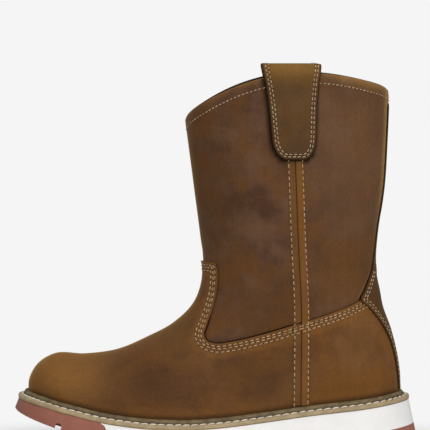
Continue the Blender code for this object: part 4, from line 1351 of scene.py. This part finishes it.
# %% Back stay
STAY_THICKNESS = 1.0
STAY_SUNK = 2.2
STAY_PAINTED_SHADE = 0.72
STAY_PAINTED_SHADE_FROM = (138.0, 170.0)
STAY_PULL = 0.12
STAY_BAND = (3.0, 7.0)
bare_stay = open_grid(STAY_STRIP)
past_counter = ease(bare_stay.points[:, 2] - COUNTER_BACK_Z - GAP, 0.0, STAY_LAP_STEP)
under_hem = ease(bare_stay.points[:, 2], *STAY_TUCK)
stay_lift = STAY_LIFT + GAP + OVERLAY_TOP * (1 - past_counter) - STAY_SUNK * under_hem
stay_sheet = open_grid(raised(bare_stay, stay_lift).points.reshape(STAY_STRIP.shape))
stay_edge = distance_to(bare_stay.points, STAY_STRIP[:, [0, -1]].reshape(-1, 3))
stay_pull = STAY_PULL * fading(stay_edge, STAY_BAND)
# The stay's straight upper part is darkened with painted shade.
stay_shade = STAY_PAINTED_SHADE * ease(bare_stay.points[:, 2], *STAY_PAINTED_SHADE_FROM)
back_stay = sheet_piece("back_stay_leather", stay_sheet, STAY_THICKNESS, stay_leather,
                        {"edge": nearness(stay_edge), "pull": stay_pull, "shade": stay_shade})
stay_skin = raised(stay_sheet, STAY_THICKNESS)

# %% Side seams
SEAM_HALF = 6.4
SEAM_ROWS = (-5.0, 5.4)
SEAM_COLUMNS = 41
SEAM_STEP = 0.8
SEAM_FOOT_Z = 30.0
SEAM_FLOOR = 0.12
SEAM_PAD = 0.62
SEAM_VALLEY = (0.1, 1.2)
SEAM_SLOPE = (4.4, 6.3)
SEAM_REST = 0.1
LAP_STEP = (-0.5, 0.5)
VALLEY_FALL = 5.9
LAP_FALL = 2.4
LAP_DROP = 0.6
FRONT_EDGE_PULL = 0.3
BACK_EDGE_PULL_AND_HIGHLIGHT = 0.85
SEAM_EDGE = (5.4, 6.4)
STRAP_END_SHADE = 0.9
STRAP_END_REACH = (1.2, 3.0)
VAMP_TAIL = 8
sewn_x, sewn_z = sewn_line[-(len(counter_edge) + VAMP_TAIL):].T


def seam_pad(u):
    """Thickness of the pressed-open seam across its width: two pads, a valley and thin outer edges."""
    return SEAM_FLOOR + SEAM_PAD * ease(np.abs(u), *SEAM_VALLEY) * fading(np.abs(u), SEAM_SLOPE)


def below_sewn_line(x, z):
    return np.interp(x, sewn_x, sewn_z) - z


def seam_base(x, z):
    """Height over the upper on which the seam lies: the lapped pieces, then a step down to the shaft."""
    return SEAM_REST + OVERLAY_TOP * ease(below_sewn_line(x, z), *LAP_STEP)


def seam_strip(side):
    """Side-view grid of a seam, its distance from the middle line and its points on the boot."""
    foot = by_x(BED, "z", seam_x(SEAM_FOOT_Z) + SEAM_HALF) + WELT_HEIGHT + GAP
    top = PULL_STRAP[0].z - 2 * GAP
    z = np.linspace(foot, top, round((top - foot) / SEAM_STEP))[:, None]
    u = np.linspace(-SEAM_HALF, SEAM_HALF, SEAM_COLUMNS)[None, :]
    x, z, u = seam_x(z) + u, z + 0 * u, u + 0 * z
    sides = np.full(x.shape, side)
    return x, z, u, wall_spot(x, z, sides), spot_normals(x, z, sides)


def make_seam(name, side):
    """Side seam: painted shade in its valley, at the lapped step and under the strap's end, and pale outer
    edges.
    """
    x, z, u, wall, out = seam_strip(side)
    points = wall + out * seam_base(x, z)[..., None]
    turn = slice(None, None, -side)
    sheet = Sheet(points[:, turn].reshape(-1, 3), out[:, turn].reshape(-1, 3), grid_faces(*x.shape, False))
    x, z, u = (part[:, turn].ravel() for part in (x, z, u))
    # The lap field paints shade in the middle valley and along the step below the lapped edge.
    valley = nearness(VALLEY_FALL * np.abs(u))
    lap_line = np.where(u < 0, nearness(LAP_FALL * np.abs(below_sewn_line(x, z) + LAP_DROP)), 0.0)
    # The back edge is paler than the front one, partly as painted highlight.
    pull = np.where(u < 0, FRONT_EDGE_PULL, BACK_EDGE_PULL_AND_HIGHLIGHT) * fading(np.abs(u), SEAM_EDGE)
    # Painted shadow under the end of the strap.
    shade = STRAP_END_SHADE * fading(PULL_STRAP[0].z - z, STRAP_END_REACH)
    fields = {"lap": np.maximum(valley, lap_line), "pull": pull, "shade": shade}
    return sheet_piece(name, sheet, seam_pad(u), seam_leather, fields, SEAM_FLOOR / 2)


SIDES = {"outer": -1, "inner": 1}
side_seams = {name: make_seam(f"side_seam_{name}_leather", side) for name, side in SIDES.items()}

# %% Pull straps
STRAP_THICKNESS = 2.3
STRAP_EDGE_SHADE = 0.7
STRAP_EDGE = (0.2, 1.1)


def make_strap(name, side):
    """Pull strap, its grain side for the stitches, and how far its points are from its edge."""
    strip = STRAP_STRIPS[side]
    sheet = open_grid(strip)
    rim = np.vstack([finely(line, LINE_STEP) for line in (strip[:, 0], strip[:, -1], strip[0])])
    to_edge = distance_to(sheet.points, rim)
    # Painted shade just inside the strap's rounded edge.
    fields = {"edge": nearness(to_edge), "shade": STRAP_EDGE_SHADE * fading(to_edge, STRAP_EDGE)}
    piece = sheet_piece(name, sheet, STRAP_THICKNESS, strap_leather, fields, STRAP_ROUND)
    return piece, raised(sheet, STRAP_THICKNESS), to_edge


straps = {name: make_strap(f"pull_strap_{name}_leather", side) for name, side in SIDES.items()}

# %% [markdown]
# ## Welt
# The welt is a strip sewn round the foot: a raised lip seals against the leather, a groove holds a bold
# lockstitch, and a flat flange sits on the sole. A bevelled curve would twist at the toe, so loops round the
# foot follow its cross section instead. Two fields tell the finish how far out and how high a point lies,
# in centimetres.

# %% Welt finish
RUBBER_SHINE = 0.3
WELT_LIP = (0.56, 0.5)
WELT_GROOVE_UP = (0.58, 0.46)
WELT_GROOVE_OUT = (0.7, 0.62)
WELT_FOOT = (0.11, 0.05)
WELT_GROOVE_SHADOW_SHARE = 0.72
WELT_FOOT_SHARE = 0.7
WELT_BEIGE = ((158, 139, 107), (178, 158, 122))
WELT_OLIVE = ((92, 76, 50), (124, 106, 74))
WELT_GROOVE_SHADOW = (46, 36, 25)
WELT_FOOT_BROWN = (120, 92, 54)
WELT_LINES = 95.0
WELT_LINE_HEIGHT = 0.35


def welt_finish():
    """Beige welt, olive lip, painted shadow in the stitch groove and a brown line at its foot."""
    material, tree, shader = new_finish("Welt")
    spot = own_spot(tree)
    out, up = field(tree, "out"), field(tree, "up")
    cloud = ramp(tree, noise(tree, spot, 180.0, 3.0), 0.3, 0.7)
    beige, olive = (mixed(tree, cloud, picked(*dark), picked(*light))
                    for dark, light in (WELT_BEIGE, WELT_OLIVE))
    colour = mixed(tree, ramp(tree, out, *WELT_LIP), beige, olive)
    # Painted shadow in the groove above the stitches.
    groove = math_node(tree, "MULTIPLY", ramp(tree, up, *WELT_GROOVE_UP), ramp(tree, out, *WELT_GROOVE_OUT))
    groove = math_node(tree, "MULTIPLY", groove, WELT_GROOVE_SHADOW_SHARE)
    colour = mixed(tree, groove, colour, picked(*WELT_GROOVE_SHADOW))
    foot = ramp(tree, up, *WELT_FOOT, 0.0, WELT_FOOT_SHARE)
    colour = mixed(tree, foot, colour, picked(*WELT_FOOT_BROWN))
    lines = math_node(tree, "SINE", math_node(tree, "MULTIPLY", up, WELT_LINES))
    rough_spots = noise(tree, spot, 1400.0, 4.0)
    height = weighed(tree, lines, WELT_LINE_HEIGHT, rough_spots, 1.0)
    bump = put(tree, "ShaderNodeBump", Strength=0.4, Distance=0.2 * MM, Height=height)
    dull = ramp(tree, rough_spots, 0.3, 0.7, 0.55, 0.72)
    feed(tree, shader, Base_Color=colour, Roughness=dull, Normal=bump.outputs[0])
    shader.inputs["Specular IOR Level"].default_value = RUBBER_SHINE
    return material


welting = welt_finish()
print("finish:", welting.name)

# %% Welt ring
Corner = namedtuple("Corner", "out up")
WELT = [
    Corner(OVERLAY_TOP + GAP, 0.0), Corner(9.0, 0.0), Corner(9.35, 0.3), Corner(9.4, 1.0), Corner(9.4, 2.2),
    Corner(9.3, 2.8), Corner(8.9, 3.25), Corner(8.2, 3.5), Corner(7.3, 3.7), Corner(6.9, 3.55),
    Corner(6.2, 3.4), Corner(5.6, 3.7), Corner(5.2, 4.5), Corner(4.8, 5.6), Corner(4.3, 6.5),
    Corner(3.8, 7.05), Corner(3.0, 7.4), Corner(2.2, 7.5), Corner(OVERLAY_TOP + GAP, 7.3),
]
WELT_POINTS = 480
MM_IN_CM = 10.0


def make_welt():
    """Ring of loops, one through each corner of the welt's section."""
    loops = np.array([seat_loop(corner.out, corner.up, WELT_POINTS) for corner in WELT])
    loops = np.vstack([loops, loops[:1]])
    faces = grid_faces(*loops.shape[:2], True) % (len(WELT) * WELT_POINTS)
    fields = {name: np.repeat(column(WELT, name) / MM_IN_CM, WELT_POINTS) for name in Corner._fields}
    return boot_piece("welt_strip", loops[:-1].reshape(-1, 3), faces, welting, fields)


welt = make_welt()

# %% [markdown]
# ## Sole
# A white wedge lies between the welt and a brick-red rubber unit, which climbs over the toe as a bumper and
# carries the lugs. Both come out of one block with the sole's outline. Here Booleans are the right tool, as
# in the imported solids: one cut along the parting line, and one bar for each groove.

# %% Rubber finishes
def rubber_finish(name, light, dark, fleck_scale, dull):
    """Moulded rubber: soft cloudiness, fine flecks and a faint skin texture."""
    material, tree, shader = new_finish(name)
    spot = own_spot(tree)
    cloud = noise(tree, spot, 60.0, 3.0)
    fleck = noise(tree, spot, fleck_scale, 3.0, 0.6)
    share = ramp(tree, weighed(tree, cloud, 0.6, fleck, 0.4), 0.3, 0.7)
    bump = put(tree, "ShaderNodeBump", Strength=0.3, Distance=0.12 * MM, Height=fleck)
    feed(tree, shader, Base_Color=mixed(tree, share, picked(*dark), picked(*light)),
         Roughness=ramp(tree, fleck, 0.3, 0.7, dull - 0.06, dull + 0.06), Normal=bump.outputs[0])
    shader.inputs["Specular IOR Level"].default_value = RUBBER_SHINE
    return material


red_rubber = rubber_finish("Red rubber", (161, 103, 86), (147, 91, 75), 900.0, 0.66)
white_foam = rubber_finish("White wedge", (247, 245, 243), (240, 238, 235), 1500.0, 0.55)
print("finishes:", red_rubber.name, "and", white_foam.name)

# %% Block of the sole
TREAD = [
    Height(-158.0, 27.7), Height(-143.0, 22.8), Height(-124.0, 17.2), Height(-105.0, 11.2),
    Height(-85.0, 5.6), Height(-66.0, 1.6), Height(-50.0, 0.0), Height(0.0, 0.0), Height(18.0, 2.2),
    Height(40.0, 4.6), Height(58.0, 3.0), Height(72.0, 0.0), Height(158.0, 0.0),
]
PARTING = [
    Height(-88.5, 30.0), Height(-87.2, 21.4), Height(-84.6, 19.6), Height(-83.2, 17.0),
    Height(-82.0, 14.2), Height(-79.0, 11.6), Height(-73.0, 10.1), Height(-55.0, 9.5),
    Height(50.0, 9.5), Height(100.0, 11.2), Height(128.0, 14.0), Height(170.0, 20.2),
]
TREAD_BEVEL = 1.2
SEAT_GAP = 0.06
SOLE_POINTS = 240
CUTTER_TOP = 60.0
CUTTER_FLOOR = -20.0
CUTTER_DEPTH = 90.0


def sole_loops():
    """Rim of the tread, a rounded foot of the side wall, and the top of the wall."""
    loops = []
    for turn in np.radians([0, 30, 60, 90]):
        loop = sole_foot(SOLE_POINTS, TREAD_BEVEL * (1 - math.sin(turn)))
        loop[:, 2] = by_x(TREAD, "z", loop[:, 0]) + TREAD_BEVEL * (1 - math.cos(turn))
        loops.append(loop)
    return np.array([*loops, seat_loop(SOLE_REACH, -SEAT_GAP, SOLE_POINTS)])


def layer_faces(layers, count):
    """Faces of stacked loops, closed above and below by strips across the foot."""
    faces = grid_faces(layers, count, True).tolist()
    for base, flip in ((0, True), ((layers - 1) * count, False)):
        for i in range(count // 2):
            across = (i, i + 1, (-i - 1) % count, (-i) % count)
            face = [base + corner for corner in across]
            faces.append(face[::-1] if flip else face)
    return faces


def side_prism(name, spots, near=-CUTTER_DEPTH, far=CUTTER_DEPTH):
    """Cutter with an outline in the side view, run through the boot from its near to its far side."""
    count = len(spots)
    near, far = (np.insert(np.asarray(spots, float), 1, y, axis=1) for y in (near, far))
    faces = [tuple(range(count)), tuple(range(2 * count - 1, count - 1, -1))]
    faces += [(i, i + count, (i + 1) % count + count, (i + 1) % count) for i in range(count)]
    mesh = bpy.data.meshes.new(name)
    mesh.from_pydata(placed(np.vstack([near, far])).tolist(), [], faces)
    cutter = bpy.data.objects.new(name, mesh)
    scene.collection.objects.link(cutter)
    return cutter


print("parting line of", len(PARTING), "spots")

# %% Cut the wedge and the rubber unit
GROOVE_WIDTH = 4.8
GROOVE_DEPTH = 4.6
GROOVE_ROUND = 1.2
GROOVE_FOOT = -6.0
GROOVES = [-98.0, -76.0, -54.0, -32.0, -10.0, 86.0, 106.0, 126.0]
TOE_NOTCH = -120.7
NOTCH_END = 20.0


def groove_cutter(x, *reach_across):
    """Bar across the sole, square to the tread where it lies, with its roof rounded off."""
    reach = 2.0
    rise = by_x(TREAD, "z", x + reach) - by_x(TREAD, "z", x - reach)
    along = np.array([2 * reach, rise]) / math.hypot(2 * reach, rise)
    upward = np.array([-along[1], along[0]])
    foot = np.array([x, float(by_x(TREAD, "z", x))])
    half, roof, wall = GROOVE_WIDTH / 2, GROOVE_WIDTH / 2 - GROOVE_ROUND, GROOVE_DEPTH - GROOVE_ROUND
    section = [(-half, GROOVE_FOOT), (half, GROOVE_FOOT), (half, wall), (roof, GROOVE_DEPTH)]
    section += [(-roof, GROOVE_DEPTH), (-half, wall)]
    return side_prism("groove", [foot + along * a + upward * b for a, b in section], *reach_across)


def cut_block(name, material, cuts):
    """The sole's block after its cuts, as a plain mesh."""
    loops = sole_loops()
    block = boot_piece(name, loops.reshape(-1, 3), layer_faces(*loops.shape[:2]), material)
    for operation, cutter in cuts:
        change = block.modifiers.new(operation, "BOOLEAN")
        change.operation = operation
        change.object = cutter
    ready = block.evaluated_get(bpy.context.evaluated_depsgraph_get())
    mesh = bpy.data.meshes.new_from_object(ready)
    block.modifiers.clear()
    block.data = mesh
    mesh.shade_smooth()
    mesh.set_sharp_from_angle(angle=SHARP_ANGLE)
    for _, cutter in cuts:
        bpy.data.objects.remove(cutter)
    print(name, "cut to", len(mesh.polygons), "faces")
    return block


parting = flowing(PARTING, row_numbers(PARTING, SPOT_POINTS))
over = [[PARTING[-1].x, CUTTER_TOP], [PARTING[0].x, CUTTER_TOP]]
under = [[PARTING[-1].x, CUTTER_FLOOR], [PAST_TOE_X, CUTTER_FLOOR], [PAST_TOE_X, CUTTER_TOP], over[1]]
above = side_prism("above", np.vstack([parting, over]))
midsole = cut_block("white_wedge", white_foam, [("INTERSECT", above)])
below = side_prism("below", np.vstack([parting, under]))
bars = [groove_cutter(x) for x in GROOVES]
notch_sides = (-CUTTER_DEPTH, -NOTCH_END), (NOTCH_END, CUTTER_DEPTH)
bars += [groove_cutter(TOE_NOTCH, *side) for side in notch_sides]
outsole = cut_block("red_sole", red_rubber, [("INTERSECT", below)] + [("DIFFERENCE", bar) for bar in bars])

# %% [markdown]
# ## Footbed
# The insole inside is a cloth-covered pad, a little hollow under the foot. A flat plate would do from
# outside, but a look down the shaft shows it, so it is a grid across the foot with a dip and a rounded rim.

# %% Footbed cloth
footbed_cloth = cloth_finish("Footbed cloth", (150, 124, 92), (116, 92, 66), 320.0)
print("finish:", footbed_cloth.name)

# %% Footbed pad
PAD_POINTS = 120
PAD_ACROSS = 25
PAD_THICKNESS = 4.0
PAD_DIP = 1.4
PAD_ROUND = 1.2
PAD_CLEARANCE = 1.2
PAD_INSET = -(WALL + PAD_CLEARANCE + PAD_ROUND)


def make_footbed():
    """Pad that spans the foot from rim to rim, thinnest along its middle."""
    rim = seat_loop(PAD_INSET, 0.0, PAD_POINTS)
    near, far = rim[:PAD_POINTS // 2 + 1], rim[-np.arange(PAD_POINTS // 2 + 1)]
    near, far = near[1:-1], far[1:-1]
    share = np.linspace(0, 1, PAD_ACROSS)
    points = near[:, None] * (1 - share[:, None]) + far[:, None] * share[:, None]
    up = np.tile([0.0, 0.0, 1.0], (points.shape[0] * PAD_ACROSS, 1))
    dip = np.tile(PAD_DIP * np.sin(share * math.pi) ** 2, len(near))
    sheet = Sheet(points.reshape(-1, 3), up, grid_faces(*points.shape[:2], False)[:, ::-1])
    return sheet_piece("footbed_pad", sheet, PAD_THICKNESS - dip, footbed_cloth, {}, PAD_ROUND)


insole = make_footbed()

# %% [markdown]
# ## Stitches
# Every seam is a row of short thread arches with a needle hole between them, shown as a dark button of
# painted shade. Placing over a thousand by hand is hopeless and a texture would be flat, so Geometry Nodes
# walk along each row: the path is cut into even steps, each step gets a thread that lies along the path and
# stands off the leather, and the result is realised into a plain mesh. Most rows are lines of equal
# distance from a sewn edge.


# %% Thread finish
def thread_finish(name, light, dark):
    """Waxed thread: uneven in colour, with a fine twist."""
    material, tree, shader = new_finish(name)
    spot = own_spot(tree)
    uneven = ramp(tree, noise(tree, spot, 300.0, 2.0), 0.35, 0.65)
    twist = noise(tree, spot, 4200.0, 2.0)
    bump = put(tree, "ShaderNodeBump", Strength=0.5, Distance=0.1 * MM, Height=twist)
    feed(tree, shader, Base_Color=mixed(tree, uneven, picked(*dark), picked(*light)),
         Roughness=ramp(tree, twist, 0.3, 0.7, 0.55, 0.75), Normal=bump.outputs[0])
    return material


fine_thread = thread_finish("Fine thread", (204, 175, 138), (164, 135, 98))
welt_thread = thread_finish("Welt thread", (236, 224, 208), (208, 190, 168))
# The needle holes are dark buttons of painted shade.
hole_shade = thread_finish("Needle hole shade", (34, 20, 8), (20, 12, 5))
print("finishes:", fine_thread.name, welt_thread.name, hole_shade.name, sep=" | ")

# %% Geometry Nodes tree for a row
ROW_INPUTS = {"Rows": "Geometry", "Pitch": "Float", "Length": "Float", "Thickness": "Float", "Lean": "Float",
              "Seed": "Int", "Finish": "Material"}
THREAD_SUNK = -0.35
THREAD_CROWN = 0.75
THREAD_SIDES = 6
HOLE_RADIUS = 0.8
HOLE_STRETCH = (1.15, 0.85, 0.3)
SWAY = 0.06


def thread_shape(tree, given):
    """Arch of thread along X whose ends dive into the leather."""
    half = math_node(tree, "MULTIPLY", given["Length"], 0.5)
    back = math_node(tree, "MULTIPLY", half, -1.0)
    sunk = math_node(tree, "MULTIPLY", given["Thickness"], THREAD_SUNK)
    crown = math_node(tree, "MULTIPLY", given["Thickness"], THREAD_CROWN)
    start = put(tree, "ShaderNodeCombineXYZ", X=back, Z=sunk).outputs[0]
    middle = put(tree, "ShaderNodeCombineXYZ", Z=crown).outputs[0]
    end = put(tree, "ShaderNodeCombineXYZ", X=half, Z=sunk).outputs[0]
    arch = put(tree, "GeometryNodeCurveQuadraticBezier", Resolution=THREAD_SIDES, Start=start, Middle=middle,
               End=end)
    radius = math_node(tree, "MULTIPLY", given["Thickness"], 0.5)
    ring = put(tree, "GeometryNodeCurvePrimitiveCircle", Resolution=THREAD_SIDES, Radius=radius)
    return put(tree, "GeometryNodeCurveToMesh", Curve=arch.outputs[0], Profile_Curve=ring.outputs[0],
               Fill_Caps=True).outputs[0]


def hole_shape(tree, given):
    """Shallow dark button halfway to the next stitch: painted shade where the needle hole is."""
    radius = math_node(tree, "MULTIPLY", given["Thickness"], HOLE_RADIUS)
    button = put(tree, "GeometryNodeMeshUVSphere", Segments=8, Rings=4, Radius=radius)
    ahead = put(tree, "ShaderNodeCombineXYZ", X=math_node(tree, "MULTIPLY", given["Pitch"], 0.5)).outputs[0]
    return put(tree, "GeometryNodeTransform", Geometry=button.outputs[0], Translation=ahead,
               Scale=HOLE_STRETCH).outputs[0]


def row_tree(name, shape):
    """Tree that sets one shape along rows. The rows carry the leather's normal as 'out'."""
    tree = bpy.data.node_groups.new(name, "GeometryNodeTree")
    for label, kind in ROW_INPUTS.items():
        tree.interface.new_socket(label, in_out="INPUT", socket_type=f"NodeSocket{kind}")
    tree.interface.new_socket("Stitches", in_out="OUTPUT", socket_type="NodeSocketGeometry")
    given = put(tree, "NodeGroupInput").outputs
    path = put(tree, "GeometryNodeMeshToCurve", Mesh=given["Rows"]).outputs[0]
    steps = put(tree, "GeometryNodeResampleCurve", {"mode": "LENGTH"}, Curve=path, Length=given["Pitch"])
    along = put(tree, "GeometryNodeInputTangent").outputs[0]
    out = put(tree, "GeometryNodeInputNamedAttribute", {"data_type": "FLOAT_VECTOR"}, Name="out")
    out = next(socket for socket in out.outputs if socket.enabled and socket.name == "Attribute")
    lie = put(tree, "FunctionNodeAxesToRotation", {"primary_axis": "X", "secondary_axis": "Z"},
              Primary_Axis=along, Secondary_Axis=out).outputs[0]
    sway = put(tree, "FunctionNodeRandomValue", {"data_type": "FLOAT"}, in2=-SWAY, in3=SWAY,
               Seed=given["Seed"])
    lean = math_node(tree, "ADD", given["Lean"], sway.outputs[1])
    turn = put(tree, "FunctionNodeAxisAngleToRotation", Axis=(0.0, 0.0, 1.0), Angle=lean).outputs[0]
    lie = put(tree, "FunctionNodeRotateRotation", {"rotation_space": "LOCAL"}, Rotation=lie, Rotate_By=turn)
    row = put(tree, "GeometryNodeInstanceOnPoints", Points=steps.outputs[0], Instance=shape(tree, given),
              Rotation=lie.outputs[0]).outputs[0]
    whole = put(tree, "GeometryNodeRealizeInstances", Geometry=row).outputs[0]
    done = put(tree, "GeometryNodeSetMaterial", Geometry=whole, Material=given["Finish"]).outputs[0]
    put(tree, "NodeGroupOutput", Stitches=done)
    return tree


THREAD_ROWS = row_tree("Thread rows", thread_shape)
HOLE_ROWS = row_tree("Needle hole shade", hole_shape)
print("trees:", THREAD_ROWS.name, "and", HOLE_ROWS.name)

# %% Sew rows
SHORTEST_ROW = 3


def sew(name, rows, tree, material, **sizes):
    """Plain mesh of stitches along rows, each given as points and normals in millimetres."""
    counts = [len(points) for points, _ in rows]
    starts = np.cumsum([0, *counts[:-1]])
    edges = np.vstack([np.stack([np.arange(count - 1), np.arange(1, count)], -1) + start
                       for count, start in zip(counts, starts)])
    mesh = bpy.data.meshes.new(f"{name}_rows")
    mesh.from_pydata(placed(np.vstack([points for points, _ in rows])).tolist(), edges.tolist(), [])
    out = mesh.attributes.new("out", "FLOAT_VECTOR", "POINT")
    out.data.foreach_set("vector", np.vstack([normals for _, normals in rows]).astype(np.float32).ravel())
    path = bpy.data.objects.new(f"{name}_rows", mesh)
    scene.collection.objects.link(path)
    sewing = path.modifiers.new("Stitches", "NODES")
    sewing.node_group = tree
    values = {"Finish": material, **sizes}
    for socket in tree.interface.items_tree:
        if socket.name in values:
            sewing[socket.identifier] = values[socket.name]
    ready = path.evaluated_get(bpy.context.evaluated_depsgraph_get())
    done = bpy.data.meshes.new_from_object(ready)
    done.shade_smooth()
    bpy.data.objects.remove(path)
    stitches = bpy.data.objects.new(name, done)
    scene.collection.objects.link(stitches)
    print(name, len(done.polygons), "faces in", len(rows), "rows")
    return stitches


def skin_rows(skin, to_edge, distances):
    """Rows on a piece's grain side at distances from its sewn edge."""
    lines = [level_lines(*skin, to_edge, distance) for distance in distances]
    return [line for found in lines for line in found if len(line[0]) > SHORTEST_ROW]


print("ready to sew")

# %% Rows of the lapped pieces, over the side seams too
def over_seam(row):
    """Row lifted onto the side seam where it crosses it."""
    points, normals = row
    u = points[:, 0] - seam_x(points[:, 2])
    lift = np.where(np.abs(u) < SEAM_HALF, seam_pad(u) + SEAM_REST, 0.0)
    return points + normals * lift[:, None], normals


vamp_rows = [over_seam(row) for row in skin_rows(vamp_skin, vamp_to_edge, VAMP_ROWS)]
counter_rows = [over_seam(row) for row in skin_rows(counter_skin, counter_to_edge, VAMP_ROWS)]
print(len(vamp_rows), "rows on the vamp,", len(counter_rows), "on the counter")

# %% Rows of stay, straps, seams and collar
STAY_KITE = (84.0, 135.0)
COLLAR_ROW = 7.0


def seam_rows(side):
    """The two stitch rows of a side seam, on top of its pads."""
    x, z, u, wall, out = seam_strip(side)
    rows = []
    for at in SEAM_ROWS:
        i = int(np.abs(u[0] - at).argmin())
        lift = seam_base(x[:, i], z[:, i]) + seam_pad(u[:, i])
        rows.append((wall[:, i] + out[:, i] * lift[:, None], out[:, i]))
    return rows


def between(row, low, high):
    """Part of a row between two heights."""
    points, normals = row
    held = (points[:, 2] > low) & (points[:, 2] < high)
    return points[held], normals[held]


stay_rows = [between(row, 0.0, STAY_KITE[1]) for row in skin_rows(stay_skin, stay_edge, STAY_ROWS[:1])]
stay_rows += [between(row, *STAY_KITE) for row in skin_rows(stay_skin, stay_edge, STAY_ROWS[1:2])]
strap_rows = [row for _, skin, to_edge in straps.values()
              for row in skin_rows(skin, to_edge, STRAP_ROWS[:2])]
seam_stitches = [row for side in SIDES.values() for row in seam_rows(side)]
to_collar = (1 - skin_fields["edge"]) * EDGE_REACH
upper_faces = grid_faces(*upper_skin.shape[:2], True)
collar_skin = Sheet(upper_skin.reshape(-1, 3), upper_normals.reshape(-1, 3), upper_faces)
collar_rows = skin_rows(collar_skin, to_collar, [COLLAR_ROW])
print("rows:", len(stay_rows), "stay,", len(strap_rows), "strap,", len(seam_stitches), "seam,",
      len(collar_rows), "collar")

# %% Sew the upper
FINE_THREAD = 0.7 * MM
STITCH_SHARE = 0.6
FINE_LEAN = 0.05
Seam = namedtuple("Seam", "name rows pitch slot")
SEAMS = [
    Seam("vamp", vamp_rows, 4.25, "leather"), Seam("counter", counter_rows, 3.8, "leather"),
    Seam("back_stay", stay_rows, 3.6, "leather"), Seam("side_seam", seam_stitches, 4.65, "seam_leather"),
    Seam("collar", collar_rows, 3.35, "leather"), Seam("pull_strap", strap_rows, 3.6, "strap_leather"),
]


def half_step_on(row, pitch):
    """Row that starts half a stitch later, so that its stitches fall between those of the row beside it."""
    points, normals = row
    run = np.cumsum([0.0, *np.linalg.norm(np.diff(points, axis=0), axis=1)])
    kept = run > pitch / 2
    first = [[np.interp(pitch / 2, run, values) for values in points.T]]
    return np.vstack([first, points[kept]]), np.vstack([normals[kept][:1], normals[kept]])


def sew_seam(number, seam):
    """Threads of a seam and the needle holes between them, dark buttons of painted shade."""
    rows = [half_step_on(row, seam.pitch) if i % 2 else row for i, row in enumerate(seam.rows)]
    pitch = seam.pitch * MM
    sizes = {"Pitch": pitch, "Length": pitch * STITCH_SHARE, "Thickness": FINE_THREAD, "Lean": FINE_LEAN,
             "Seed": number}
    return [sew(f"{seam.name}_thread", rows, THREAD_ROWS, fine_thread, **sizes),
            sew(f"{seam.name}_needle_hole_shade", rows, HOLE_ROWS, hole_shade, **sizes)]


sewn = {seam.name: sew_seam(number, seam) for number, seam in enumerate(SEAMS)}

# %% Sew the welt
WELT_ROW = Corner(6.35, 3.7)
WELT_PITCH = 6.4 * MM
WELT_LENGTH = 5.6 * MM
WELT_THREAD = 1.3 * MM
WELT_LEAN = 0.2
WELT_SEED = 8
WELT_FACING = (0.6, 0.8)


def welt_row():
    """Row in the welt's groove, turned between outward and upward."""
    loop = seat_loop(WELT_ROW.out, WELT_ROW.up, WELT_POINTS)
    away = seat_loop(WELT_ROW.out + 1.0, WELT_ROW.up, WELT_POINTS) - loop
    away[:, 2] = 0
    away /= np.linalg.norm(away, axis=1, keepdims=True)
    out = away * WELT_FACING[0] + np.array([0.0, 0.0, WELT_FACING[1]])
    return np.vstack([loop, loop[:1]]), np.vstack([out, out[:1]])


welt_sizes = {"Pitch": WELT_PITCH, "Length": WELT_LENGTH, "Thickness": WELT_THREAD, "Lean": WELT_LEAN,
              "Seed": WELT_SEED}
welt_stitches = sew("welt_thread", [welt_row()], THREAD_ROWS, welt_thread, **welt_sizes)

# %% [markdown]
# ## Onto the boot's body
# Each piece now moves with the boot's one body, and the imported solid that it stands for is hidden.

# %% Ride and replace
Hand = namedtuple("Hand", "piece node slot")
HANDS = [
    Hand(upper, "upper", "leather"), Hand(lining, None, "footbed"), Hand(vamp, "vamp", "leather"),
    Hand(counter, "counter", "leather"), Hand(back_stay, "back_stay", "leather"),
    Hand(welt, "welt", "welt"), Hand(midsole, "midsole", "white_wedge"),
    Hand(outsole, "outsole", "red_rubber"), Hand(insole, "insole", "footbed"),
    Hand(welt_stitches, None, "welt"),
]
HANDS += [Hand(side_seams[name], f"side_seam_{name}", "seam_leather") for name in SIDES]
HANDS += [Hand(straps[name][0], f"pull_strap_{name}", "strap_leather") for name in SIDES]
HANDS += [Hand(piece, None, seam.slot) for seam in SEAMS for piece in sewn[seam.name]]
for hand in HANDS:
    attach(hand.piece, "root")
    if hand.node:
        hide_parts(hand.node)
